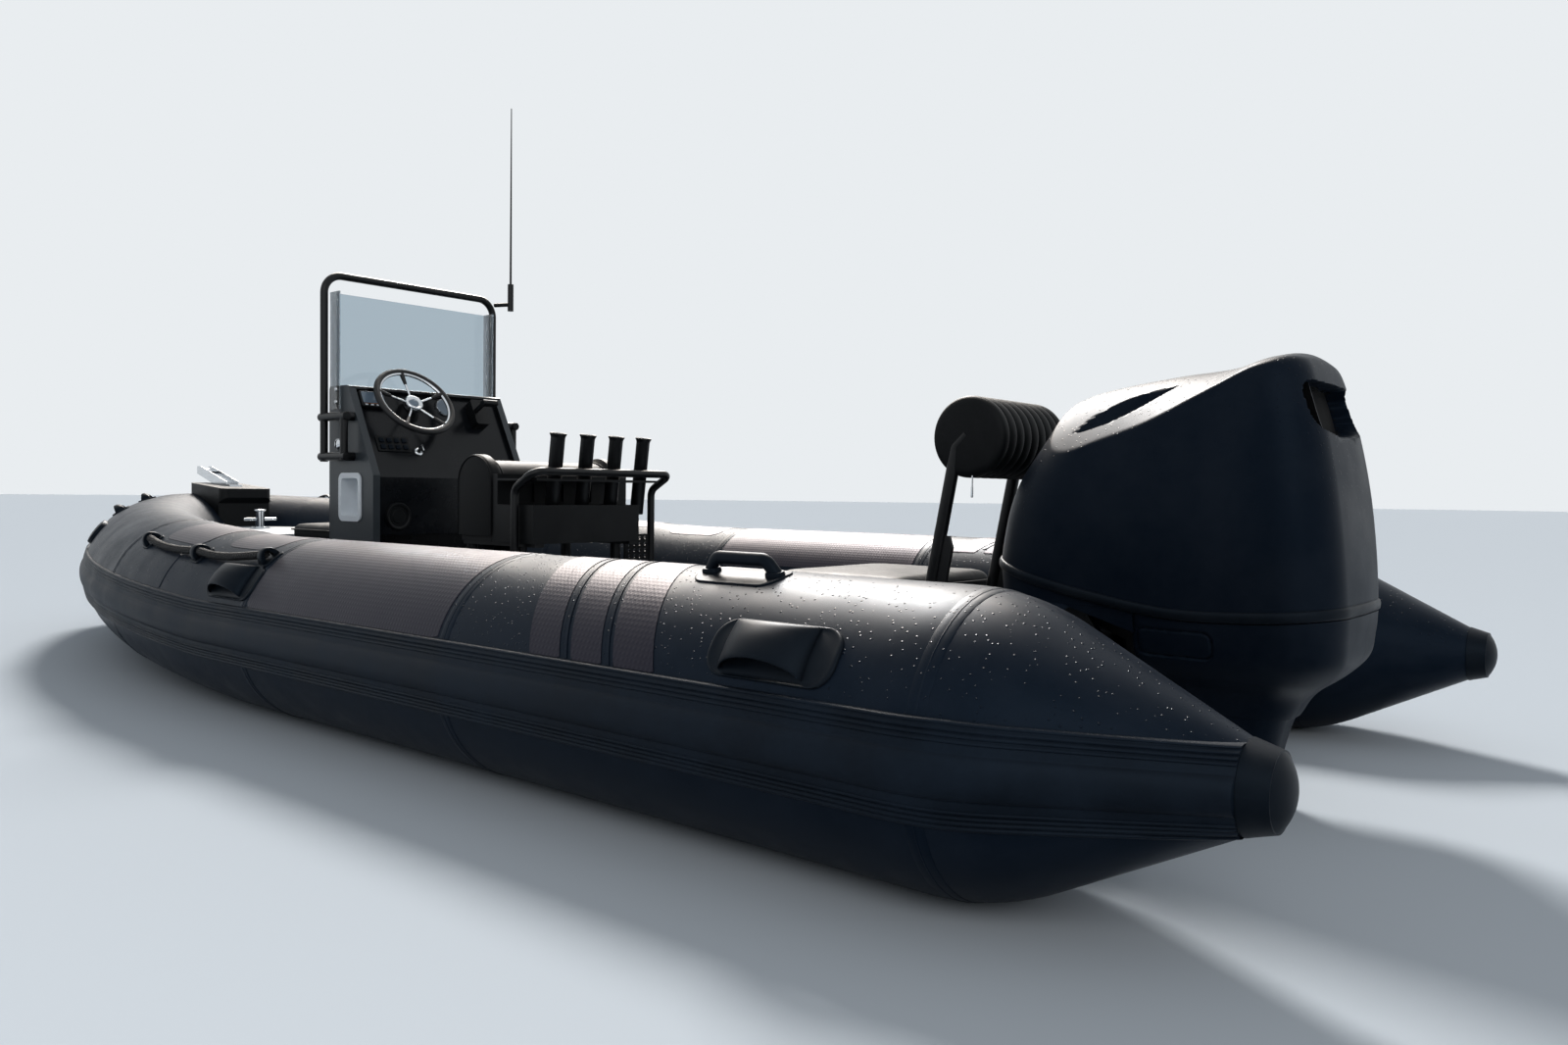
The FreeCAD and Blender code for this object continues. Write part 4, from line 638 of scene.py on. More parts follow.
def bar_part(points, radius, bend=0.0, sides=16, flat=1.0):
    """A round bar through points: each corner becomes an arc of radius bend, and a ring is carried along.

    The arc is a rational curve of degree 2, weighted by the cosine of half its angle. flat squeezes
    the ring one way.
    """
    ends = [np.array(q, float) for q in points]
    path = [ends[0]]
    t = np.linspace(0, 1, 8)[:, None]
    for before, corner, after in zip(ends, ends[1:], ends[2:]):
        run_in, run_out = np.linalg.norm(corner - before), np.linalg.norm(after - corner)
        way_in, way_out = (corner - before) / run_in, (after - corner) / run_out
        angle = math.acos(np.clip(way_in @ way_out, -1, 1))
        back = min(bend * math.tan(angle / 2), run_in * 0.49, run_out * 0.49)
        if back < DOUBLE:
            path.append(corner)
            continue
        a, b = corner - way_in * back, corner + way_out * back
        pull = 2 * t * (1 - t) * math.cos(angle / 2)
        path += list(((1 - t) ** 2 * a + pull * corner + t ** 2 * b) / ((1 - t) ** 2 + pull + t ** 2))
    path.append(ends[-1])
    return tube_along(np.array(path), radius, sides, flat)


def carried(path):
    """Two directions square to a path and to each other, carried along it with the least twist."""
    way = np.gradient(path, axis=0)
    way /= np.linalg.norm(way, axis=1)[:, None]
    side = np.cross(way[0], [0, 0, 1.0] if abs(way[0][2]) < 0.9 else [0, 1.0, 0])
    carried_sides = []
    for step_way in way:
        side = side - step_way * (side @ step_way)
        side = side / np.linalg.norm(side)
        carried_sides.append(side)
    a = np.array(carried_sides)
    return a, np.cross(way, a)


def tube_along(path, radius, sides=16, flat=1.0):
    """A ring carried along a path with the least twist, and closed at both ends.

    A ring's point is the path's plus radius * (cos * a + flat * sin * b), where a and b are square to
    the path.
    """
    a, b = (way[:, None, :] for way in carried(path))
    turn = np.linspace(0, 2 * math.pi, sides + 1)[:-1][None, :, None]
    r = np.asarray(radius, float)
    r = r[:, None, None] if r.ndim else r
    points = path[:, None, :] + r * (np.cos(turn) * a + np.sin(turn) * b * flat)
    return grid_part(points, loop_v=True, cap=(True, True), flip=True)


def lathe(profile, origin, axis, sides=48):
    """A profile of (along, radius) turned about an axis: origin + axis * along + radius * (cos, sin)."""
    axis = np.array(axis, float) / np.linalg.norm(axis)
    a = np.cross(axis, [0, 0, 1.0] if abs(axis[2]) < 0.9 else [1.0, 0, 0])
    a /= np.linalg.norm(a)
    b = np.cross(axis, a)
    pairs = np.array(profile, float)
    turn = np.linspace(0, 2 * math.pi, sides + 1)[:-1]
    ring = np.cos(turn)[:, None] * a + np.sin(turn)[:, None] * b
    points = np.array(origin, float) + pairs[:, None, :1] * axis + pairs[:, None, 1:] * ring[None]
    return grid_part(points, loop_v=True, cap=(True, True), flip=True)


def pillow(low, high, corner, edge, crown=0.0):
    """A block with a rounded plan and rounded rims, its top crowned by crown * (1 - u^2) * (1 - v^2).

    Rings of the plan go up the sides, over the rim in a quarter circle and in to the middle.
    """
    (x0, y0, z0), (x1, y1, z1) = low, high
    middle = np.array([(x0 + x1) / 2, (y0 + y1) / 2])
    half_x, half_y = (x1 - x0) / 2, (y1 - y0) / 2

    def ring(inset):
        return rounded_loop(half_x - inset, half_y - inset, max(corner - inset, 0.0008), 18)

    rows = [(ring(edge * (1 - math.sin(t))), z0 + edge * (1 - math.cos(t)))
            for t in np.linspace(0, math.pi / 2, 5)]
    rows += [(ring(edge * (1 - math.cos(t))), z1 - edge * (1 - math.sin(t)))
             for t in np.linspace(0, math.pi / 2, 7)]
    last = ring(edge)
    rows += [(last * max(k, 0.002), z1) for k in np.linspace(1, 0.0, 10)[1:]]
    flat = np.array([row[0] for row in rows])
    z = np.array([row[1] for row in rows])[:, None] * np.ones(flat.shape[1])
    u, v = flat[..., 0] / half_x, flat[..., 1] / half_y
    z = z + crown * (1 - np.clip(u, -1, 1) ** 2) * (1 - np.clip(v, -1, 1) ** 2) * (z > (z0 + z1) / 2)
    points = np.concatenate([flat + middle, z[..., None]], -1)
    return grid_part(points, loop_v=True, cap=(True, True), flip=True)


def moved(part, matrix):
    """A part carried by a 4 x 4 matrix."""
    m = np.array(matrix)
    return part[0] @ m[:3, :3].T + m[:3, 3], part[1], part[2]


class BOAT_OT_strakes(bpy.types.Operator):
    """The rub strakes with their ribs and beads"""
    bl_idname = "boat.strakes"
    bl_label = "Rub strakes"

    def execute(self, context):
        part = strake_part()
        for side, twin in SIDES:
            piece("rub_strake_" + side, [(twin(part), "extruded_rubber")], replaces=["strake_" + side],
                  crease=60)
        return {"FINISHED"}


# Glued layers: runs in metres along the tube, angles in degrees up from its outboard side
STRAKE_EDGE = 18.4
SEAMS = ((-0.225, 200), (1.04, 200), (2.04, 200), (3.12, 190))      # run, highest angle
SEAM_LOW = (-160, -18.4)
TAPE_LIFT, WELD_LIFT, WELD_HALF = 0.0011, 0.0019, 0.002
STRIPES = ((0.629, 0.727), (0.501, 0.593), (0.353, 0.466))          # first and last run at the strake
WELTS = (0.611, 0.4835)
STRIPE_SLANT = 0.115
# first and last run, lowest and highest angle, corner radius
WEAR_PANELS = ((1.066, 2.018, STRAKE_EDGE, 150, 0.004), (2.12, 2.44, 61, 118, 0.045),
               (2.575, 2.90, 56, 112, 0.045))
BOW_PATCH = (2.625, 3.02, 18.8, 46, 0.012)
NOSE_PATCH = (3.97, 4.11, 23, 46, 0.058)


def outline_at(first, last, low, high, corner, slant=0.0):
    """A rounded outline on the skin, its angles in degrees."""
    return rounded_outline(first, last, math.radians(low), math.radians(high), corner, slant)


class BOAT_OT_layers(bpy.types.Operator):
    """The layers glued on the skin: seam tapes, stripes, wear panels and blank patches"""
    bl_idname = "boat.layers"
    bl_label = "Glued layers"

    def execute(self, context):
        sizes = context.scene.boat_sizes
        tapes = []
        upper = [(run, STRAKE_EDGE, high) for run, high in SEAMS]
        lower = [(run, *SEAM_LOW) for run, _ in SEAMS]
        for run, low, high in upper + lower:
            for half, lift in ((sizes.tape_width / 2, TAPE_LIFT), (WELD_HALF, WELD_LIFT)):
                part = band(run - half, run + half, math.radians(low), math.radians(high), lift)
                tapes.append((part, "coated_fabric"))
        piece("seam_tapes", both_sides(tapes))

        def layer(outline, look, lift=sizes.stripe_lift):
            return tube_pad(outline, lift, soft=0.002), look

        stripes = [layer(outline_at(first, last, STRAKE_EDGE, 125, 0.003, STRIPE_SLANT), "embossed_fabric")
                   for first, last in STRIPES]
        piece("stripes", both_sides(stripes))
        # a plain welt in each gap between the stripes
        welts = [layer(outline_at(run - 0.006, run + 0.006, STRAKE_EDGE, 120, 0.002, STRIPE_SLANT),
                       "coated_fabric", 0.0018) for run in WELTS]
        piece("stripe_welts", both_sides(welts))
        panels = [layer(outline_at(*panel), "embossed_fabric") for panel in WEAR_PANELS]
        piece("wear_panels", both_sides(panels))
        patches = [layer(outline_at(*BOW_PATCH), "coated_fabric"),
                   (tube_pad(outline_at(*NOSE_PATCH), 0.012, bead=0.004, soft=0.012), "moulded_rubber")]
        piece("blank_patches", both_sides(patches))
        return {"FINISHED"}


STRAP_RUNS = (0.088, 2.162)
GRIP_AROUND = math.radians(77)
GRIP_FOOT_RUNS = (0.222, 0.390)
GRIP_FOOT_HALF = 0.055          # radians round the tube
GRIP_BAR = ((0.216, 0.002), (0.240, 0.034), (0.372, 0.034), (0.396, 0.002))     # run, height


class BOAT_OT_handles(bpy.types.Operator):
    """The carrying handles and the grab handles"""
    bl_idname = "boat.handles"
    bl_label = "Handles"

    def execute(self, context):
        parts = []
        for run in STRAP_RUNS:
            parts.append(tube_pad(outline_at(run - 0.145, run + 0.145, 21.5, 46.0, 0.045), 0.0035,
                                  bead=0.0025, soft=0.006))
            parts.append(strap_part(run + 0.01, math.radians(34.5), 0.19, 0.088, 0.040, 0.007))
        piece("strap_handles", both_sides([(part, "moulded_rubber") for part in parts]),
              replaces=["carry_handles"], crease=50)
        parts = [tube_pad(outline_at(0.200, 0.412, 66.5, 87.5, 0.035), 0.003, bead=0.001)]
        feet = [on_tube(run, GRIP_AROUND, lift) for run, lift in GRIP_BAR]
        parts.append(bar_part(feet, 0.011, bend=0.024, flat=1.25))
        for run in GRIP_FOOT_RUNS:
            outline = rounded_outline(run - 0.020, run + 0.020, GRIP_AROUND - GRIP_FOOT_HALF,
                                      GRIP_AROUND + GRIP_FOOT_HALF, 0.012)
            parts.append(tube_pad(outline, 0.012, soft=0.006))
        piece("grab_handles", both_sides([(part, "moulded_rubber") for part in parts]),
              replaces=["top_handles"], crease=50)
        return {"FINISHED"}


# Engine: plan outlines stacked up, their sizes read from short tables

COWL_ROWS = np.array([
    # height, aft end, forward end, half width, nose radius, aft corner radius
    (0.400, -0.583, 0.232, 0.236, 0.170, 0.110),
    (0.560, -0.575, 0.228, 0.243, 0.178, 0.110),
    (0.720, -0.557, 0.190, 0.240, 0.182, 0.105),
    (0.860, -0.530, 0.104, 0.224, 0.180, 0.095),
    (1.040, -0.478, 0.010, 0.190, 0.150, 0.080),
])
SKIRT_ROWS = np.array([
    (0.206, -0.446, -0.150, 0.090, 0.030, 0.055),
    (0.262, -0.482, -0.150, 0.122, 0.040, 0.075),
    (0.300, -0.531, -0.150, 0.172, 0.040, 0.095),
    (0.340, -0.567, -0.150, 0.208, 0.040, 0.105),
    (0.400, -0.579, -0.150, 0.229, 0.040, 0.110),
    (0.460, -0.582, -0.150, 0.237, 0.040, 0.110),
])
SEAM_LINE = np.array([(-0.600, 0.450), (-0.420, 0.432), (-0.256, 0.429), (-0.060, 0.456), (0.260, 0.530)])
CROWN_LINE = np.array([
    # x, height of the ridge, height of the shoulder line
    (-0.520, 0.985, 0.975), (-0.470, 1.016, 0.982), (-0.420, 1.017, 0.975), (-0.330, 0.997, 0.930),
    (-0.180, 0.983, 0.857), (-0.054, 0.966, 0.815), (0.040, 0.946, 0.782), (0.120, 0.908, 0.755),
    (0.260, 0.740, 0.640),
])
CROWN_HALF = 0.232
SPINE = (-0.400, -0.02)             # aft and forward end of the ridge that the roof's rows run in to
# the scoop's two points as (x, y), its greatest half width, its rim and its depth
SCOOP_AFT = np.array([-0.215, 0.110])
SCOOP_FWD = np.array([0.0, 0.185])
SCOOP_HALF, SCOOP_RIM, SCOOP_DEEP = 0.030, 0.012, 0.052
# the vent's half width, lowest and highest point, rim and depth
VENT = (0.176, 0.846, 0.946)
VENT_RIM, VENT_DEEP = 0.006, 0.050
# from this share of its depth a hollow takes the near-black painted shade
PAINTED_SHADE_SHARE = 0.45                         # share of the depth from which a hollow is dark
# shares of the wall's height, closer together at the vent
WALL_ROWS = np.concatenate([np.linspace(0, 0.70, 44, endpoint=False),
                            np.linspace(0.70, 0.935, 52, endpoint=False), np.linspace(0.935, 1, 8)])
SKIRT_FOOT = 0.206
LATCH_X, LATCH_Z = -0.255, 0.374    # middle of the latch's recess in the skirt


def curve(where, xs, ys):
    """A smooth curve through points: cubic pieces whose slopes are those between each point's neighbours."""
    slopes = np.gradient(ys, xs)
    k = np.clip(np.searchsorted(xs, where) - 1, 0, len(xs) - 2)
    span = xs[k + 1] - xs[k]
    t = np.clip((where - xs[k]) / span, 0, 1)
    return ((1 + 2 * t) * (1 - t) ** 2 * ys[k] + t * (1 - t) ** 2 * span * slopes[k]
            + t * t * (3 - 2 * t) * ys[k + 1] + t * t * (t - 1) * span * slopes[k + 1])


def plan_point(rows, z, leg, t, bulge_side=0.004, bulge_aft=0.010):
    """A point of the rounded plan at height z. leg is 0 for the aft face, 1 its corner, 2 the side,
    3 the nose corner and 4 the nose, port half; t runs 0 to 1 along it.

    Sides are straight plus bulge * (1 - (2t - 1)^2); corners are quarter circles.
    """
    aft, fwd, half, nose, back = (curve(z, rows[:, 0], rows[:, k]) for k in range(1, 6))
    nose, back = np.minimum(nose, half - 0.001), np.minimum(back, half - 0.001)
    q = t * math.pi / 2
    x = np.select([leg == 0, leg == 1, leg == 2, leg == 3],
                  [aft, aft + back * (1 - np.cos(q)), aft + back + t * (fwd - nose - aft - back),
                   fwd - nose + nose * np.sin(q)], fwd)
    y = np.select([leg == 0, leg == 1, leg == 2, leg == 3],
                  [t * (half - back), half - back + back * np.sin(q), half, half - nose + nose * np.cos(q)],
                  (1 - t) * (half - nose))
    y = y + np.where(leg == 2, bulge_side * (1 - (2 * t - 1) ** 2), 0)
    return x - bulge_aft * (1 - np.clip(y / half, 0, 1) ** 2) * (leg < 2), y


def plan_steps(counts):
    """Legs and parameters of half a plan, from the aft middle to the nose's middle."""
    legs = np.concatenate([np.full(n, k) for k, n in enumerate(counts)] + [[4]])
    t = np.concatenate([np.linspace(0, 1, n, endpoint=False) for n in counts] + [[1.0]])
    return legs, t


def crown(x, y):
    """The roof: from the ridge down to the shoulder line as |y / half| ^ 1.6."""
    ridge = curve(x, CROWN_LINE[:, 0], CROWN_LINE[:, 1])
    shoulder = curve(x, CROWN_LINE[:, 0], CROWN_LINE[:, 2])
    return ridge + (shoulder - ridge) * np.abs(y / CROWN_HALF) ** 1.6


def seam_height(x):
    """Height of the cowl's lower edge."""
    return curve(x, SEAM_LINE[:, 0], SEAM_LINE[:, 1])


def seam_heights(rows, legs, t, start, rounds, drop=0.0):
    """The cowl's lower edge at each point of a plan, found by rounds: each height gives the x that gives
    the next height. Also the last round's x and y."""
    z = np.full(len(t), start)
    for _ in range(rounds):
        x, y = plan_point(rows, z, legs, t)
        z = seam_height(x) - drop
    return z, x, y


def both_halves(points):
    """Half a plan's grid with its starboard half added, running once round."""
    other = points[:, 1:-1][:, ::-1] * [1, -1, 1]
    return np.concatenate([points, other], axis=1)


def scoop_depth(x, y):
    """How far a roof point is sunk into its scoop, 0 to 1: a leaf whose half width is
    4 * SCOOP_HALF * u * (1 - u) at u along it, its rim rolled over SCOOP_RIM."""
    length = np.linalg.norm(SCOOP_FWD - SCOOP_AFT)
    along = (SCOOP_FWD - SCOOP_AFT) / length
    across = np.array([-along[1], along[0]])
    px, py = x - SCOOP_AFT[0], np.abs(y) - SCOOP_AFT[1]
    u = (px * along[0] + py * along[1]) / length
    v = px * across[0] + py * across[1]
    bow = SCOOP_HALF * 4 * np.clip(u * (1 - u), 0, None)
    inside = (bow - np.abs(v)) * ((u > 0) & (u < 1))
    return np.clip(inside / SCOOP_RIM, 0, 1)


def vent_depth(y, z):
    """How far a wall point is sunk into the vent, 0 to 1: a slot whose ends are squared ovals,
    exponent 3, and whose lower edge drops 14 mm towards the middle."""
    half, low, high = VENT
    low = low - 0.014 * np.clip((half - np.abs(y)) / 0.10, 0, 1)
    r = (high - low) / 2
    end = np.maximum(np.abs(y) - (half - r * 0.8), 0) / 0.8
    away = (end ** 3 + np.abs(z - (low + high) / 2) ** 3) ** (1 / 3)
    return np.clip((r - away) / VENT_RIM, 0, 1)


def cowl_part():
    """The cowl: walls up each plan point to where they meet the roof, then the roof in to the ridge.

    The meeting edge is rounded by averaging rows across it, over 2 rows at the front and 10 aft. The
    scoops sink by SCOOP_DEEP * sin(90 deg * share), and the vent likewise. Returns the part and each
    face's finish.
    """
    legs, t = plan_steps([34, 40, 84, 22, 16])
    foot = seam_heights(COWL_ROWS, legs, t, 0.45, 6)[0]
    edge = np.full(len(t), 0.80)
    for _ in range(40):
        x, y = plan_point(COWL_ROWS, edge, legs, t)
        edge = edge + 0.45 * (crown(x, y) - edge)
    share = WALL_ROWS[:, None]
    top = len(WALL_ROWS) - 1
    height = foot + share * (edge - foot)
    wx, wy = plan_point(COWL_ROWS, height, legs[None, :] + 0 * share, t[None, :] + 0 * share)
    wall = np.stack([wx, wy, height], -1)
    ex, ey = wall[-1, :, 0], wall[-1, :, 1]
    inward = np.linspace(0, 1, 56)[1:, None]
    rx, ry = ex + (np.clip(ex, *SPINE) - ex) * inward, ey * (1 - inward)
    roof = np.stack([rx, ry, crown(rx, ry)], -1)
    points = np.concatenate([wall, roof])
    row = np.arange(len(points))[:, None]
    past = row - top
    near = np.clip(1 - np.where(past < 0, -past / 58, past / 26), 0, 1)[..., None] ** 0.3
    aft = np.clip((-ex - 0.34) / 0.12, 0, 1)[None, :, None]
    for radius, weight in ((2, 1 - aft), (10, aft)):
        kernel = np.hanning(2 * radius + 3)[1:-1]
        kernel /= kernel.sum()
        padded = np.concatenate([np.repeat(points[:1], radius, 0), points, np.repeat(points[-1:], radius, 0)])
        soft = sum(w * padded[k:k + len(points)] for k, w in enumerate(kernel))
        points = points + (soft - points) * weight * near
    sunk = scoop_depth(points[..., 0], points[..., 1]) * (row > top + 1)
    points[..., 2] -= SCOOP_DEEP * np.sin(sunk * math.pi / 2)
    into = vent_depth(points[..., 1], points[..., 2]) * (points[..., 0] < -0.36) * (row < top + 16)
    points[..., 0] += VENT_DEEP * np.sin(into * math.pi / 2)
    part = grid_part(both_halves(points), loop_v=True, flip=True)
    # faces sunk deep into a scoop or the vent get painted shade, a near-black finish
    shade_half = np.maximum(sunk, into) > PAINTED_SHADE_SHARE
    shade_mask = np.concatenate([shade_half, shade_half[:, 1:-1][:, ::-1]], axis=1)
    around = np.roll(shade_mask, -1, axis=1)
    faces = shade_mask[:-1] & shade_mask[1:] & around[:-1] & around[1:]
    return part, ["engine_hollow" if face else "engine_paint" for face in faces.ravel()]


def lip_part():
    """The rounded lip along the cowl's foot: a half-round section, 6.5 mm * cos^0.7 out and 24 mm high,
    carried round the plan."""
    legs, t = plan_steps([20, 16, 40, 18, 10])
    z, x, y = seam_heights(COWL_ROWS, legs, t, 0.45, 6)
    turn = np.linspace(-math.pi / 2, math.pi / 2, 9)
    out = np.concatenate([[-0.004], 0.0065 * np.cos(turn) ** 0.7, [-0.004]])[:, None]
    rise = np.concatenate([[0.0], 0.012 + 0.012 * np.sin(turn), [0.024]])[:, None]
    away = np.stack([x - np.clip(x, -0.45, 0.05), y], -1)
    away /= np.linalg.norm(away, axis=1)[:, None]
    px, py = plan_point(COWL_ROWS, z + rise, legs[None, :] + 0 * rise.astype(int), t[None, :] + 0 * rise)
    points = np.stack([px + away[:, 0] * out, py + away[:, 1] * out, z + rise], -1)
    return grid_part(both_halves(points), loop_v=True, flip=True)


def skirt_part():
    """The skirt under the cowl, drawn in to the leg: its plan is read smoothly from the table at every
    height.

    The latch's recess is a groove of cosine section, 4.5 mm deep, round a rounded rectangle.
    """
    legs, t = plan_steps([20, 18, 130, 10, 10])
    top = seam_heights(SKIRT_ROWS, legs, t, 0.44, 4, drop=0.002)[0]
    share = np.linspace(0, 1, 110)[:, None]
    height = SKIRT_FOOT + share * (top - SKIRT_FOOT)
    px, py = plan_point(SKIRT_ROWS, height, legs[None, :] + 0 * share.astype(int), t[None, :] + 0 * share)
    points = np.stack([px, py, height], -1)
    past_x = np.maximum(np.abs(px - LATCH_X) - 0.065, 0)
    past_z = np.maximum(np.abs(height - LATCH_Z) - 0.010, 0)
    over = np.hypot(past_x, past_z) - 0.020
    groove = np.clip(1 - np.abs(over) / 0.005, 0, 1)
    points[..., 1] -= 0.0045 * np.sin(groove * math.pi / 2) + 0.0025 * (over < 0)
    return grid_part(both_halves(points), loop_v=True, cap=(True, True), flip=True)


def blade_part():
    """The blade that stands in the vent: its front edge leans out as t^0.7 over its height, and its
    section is a thin bar running forward."""
    z = np.linspace(0.845, 0.944, 21)
    t = (z - 0.845) / 0.099
    edge = np.stack([-0.512 + 0.016 * t, 0.052 + 0.066 * t ** 0.7, z], -1)
    section = ((0.0, 0.0, 0.0), (0.0, 0.004, 0.0), (0.05, 0.010, 0.0), (0.05, 0.002, 0.0))
    part = grid_part(np.stack([edge + corner for corner in section], 1), loop_v=True, cap=(True, True))
    # all but the blade's front edge get painted shade, the near-black finish of the vent's inside
    return part, ["engine_hollow" if k % len(section) else "engine_paint" for k in range(len(part[1]))]


# profiles are (along, radius) of a lathe, in metres
OUTLET = ((0.0, 0.003), (0.0, 0.017), (0.004, 0.019), (0.006, 0.017), (0.003, 0.011), (0.001, 0.003))


class BOAT_OT_engine(bpy.types.Operator):
    """The engine's cowl with its scoops and vent, the lip, the skirt and its small parts"""
    bl_idname = "boat.engine"
    bl_label = "Engine"

    def execute(self, context):
        piece("engine_cowl", [cowl_part()], "outboard", replaces=["cowl"], crease=45)
        piece("cowl_lip", [(lip_part(), "moulded_rubber")], "outboard", crease=60)
        piece("engine_skirt", [(skirt_part(), "engine_paint")], "outboard", replaces=["lower_cowl"],
              crease=50)
        piece("vent_blade", [blade_part()], "outboard", recalculate=True)
        outlet = lathe(OUTLET, (-0.452, 0.045, 0.232), (-0.86, 0.30, -0.42), 24)
        piece("water_outlet", [(outlet, "moulded_rubber")], "outboard")
        return {"FINISHED"}


# Soft parts

ROLL_HALF, ROLL_R = 0.177, 0.105
PRESSURE = 4.0
CLOTH_MESH = 0.006
CLOTH_STEPS = 20
SWELL = 0.006           # how far the cloth's points may move


def roll_part():
    """The backrest roll: nine padded rings turned about its axis, with domed ends.

    A ring's radius is the roll's less 7.5 mm * (1 - |sin|^0.42), where the sine is nought at its seams.
    """
    y = np.linspace(-ROLL_HALF, ROLL_HALF, 181)
    k = (y + ROLL_HALF) / (2 * ROLL_HALF) * 9
    ring = ROLL_R - 0.0075 * (1 - np.abs(np.sin(k * math.pi)) ** 0.42)
    rim = np.clip((ROLL_HALF - np.abs(y)) / 0.016, 0, 1)
    ring = ring - 0.010 * (1 - np.sqrt(1 - (1 - rim) ** 2))
    ends = [(-ROLL_HALF - 0.004 * (1 - d * d), (ROLL_R - 0.0175) * d) for d in np.linspace(0.02, 1, 12)]
    profile = ends[:-1] + list(zip(y, ring)) + [(-a, r) for a, r in ends[:-1][::-1]]
    return lathe(profile, (0.300, 0.0, 0.845), (0, 1, 0), 72)


def inflate(made):
    """Swells a closed pad by a short cloth simulation, its points moved by SWELL at most."""
    scene = bpy.context.scene
    bpy.context.view_layer.objects.active = made
    remesh = made.modifiers.new("even", "REMESH")
    remesh.mode = "VOXEL"
    remesh.voxel_size = CLOTH_MESH
    apply_all(made)
    rest = read_points(made.data)
    cloth = made.modifiers.new("swell", "CLOTH")
    cloth.settings.use_pressure = True
    cloth.settings.uniform_pressure_force = PRESSURE
    cloth.settings.effector_weights.gravity = 0
    cloth.settings.quality = 4
    for step in range(CLOTH_STEPS):
        scene.frame_set(step + 1)
    apply_all(made)
    scene.frame_set(1)
    swollen = read_points(made.data)
    way = swollen - rest
    far = np.linalg.norm(way, axis=1)[:, None]
    kept = rest + way * np.minimum(1, SWELL / np.maximum(far, 1e-9))
    made.data.vertices.foreach_set("co", kept.ravel())
    made.data.update()
    made.data.shade_smooth()


def read_points(mesh):
    """A mesh's points as an array."""
    co = np.zeros(len(mesh.vertices) * 3)
    mesh.vertices.foreach_get("co", co)
    return co.reshape(-1, 3)


def apply_all(made):
    """Puts an object's modifiers into its mesh."""
    graph = bpy.context.evaluated_depsgraph_get()
    graph.update()
    mesh = bpy.data.meshes.new_from_object(made.evaluated_get(graph))
    made.modifiers.clear()
    made.data = mesh


SADDLE_AFT, SADDLE_FWD = 2.138, 2.341
SADDLE_LOW, SADDLE_TOP = 0.532, 0.822
SADDLE_HALF = 0.305
SADDLE_DROP = 0.020
# the piping's arches: place across the boat, radius and height
SADDLE_PIPES = ((-0.3035, 0.0985, 0.816), (-0.245, 0.097, 0.804), (0.245, 0.097, 0.804),
                (0.3035, 0.0985, 0.816))
PIPING_R = 0.0035


def seat_part():
    """The saddle: a round-topped arch carried across the boat, its ends raised into bolsters.

    The arch is two straight sides and a half circle. Between the bolsters it is SADDLE_DROP lower; they
    are 42 mm wide, and a smooth step of 18 mm leads up to each.
    """
    radius = (SADDLE_FWD - SADDLE_AFT) / 2
    middle = (SADDLE_AFT + SADDLE_FWD) / 2
    shoulder = SADDLE_TOP - radius
    side = np.linspace(SADDLE_LOW, shoulder, 16)[:-1]
    turn = np.linspace(0, math.pi, 41)
    x = np.concatenate([np.full(len(side), SADDLE_AFT), SADDLE_AFT + radius - radius * np.cos(turn),
                        np.full(len(side), SADDLE_FWD)])
    z = np.concatenate([side, shoulder + radius * np.sin(turn), side[::-1]])
    inset = np.array([0.012, 0.005, 0.001, 0.0])
    main_half = SADDLE_HALF - inset[0]
    y = np.concatenate([inset[:0:-1] - SADDLE_HALF, np.linspace(-main_half, main_half, 60),
                        SADDLE_HALF - inset[1:]])
    inward = SADDLE_HALF - np.abs(y)
    near = np.clip((0.060 - inward) / 0.018, 0, 1)
    drop = SADDLE_DROP * (1 - near ** 2 * (3 - 2 * near))
    rim = np.interp(inward, [0, 0.001, 0.005, 0.012, 1], [0.012, 0.007, 0.002, 0, 0])
    shrink = 1 - (rim + drop * 0.35)[:, None] / radius
    px = middle + (x[None, :] - middle) * shrink
    pz = SADDLE_LOW + (z[None, :] - SADDLE_LOW) * (1 - (drop + rim)[:, None] / (SADDLE_TOP - SADDLE_LOW))
    points = np.stack([px, np.broadcast_to(y[:, None], px.shape), pz], -1)
    return grid_part(points, loop_v=True, cap=(True, True))


def piping(line):
    """A sewn piping along a line of points."""
    return tube_along(np.array(line), PIPING_R, 8), "marine_vinyl"


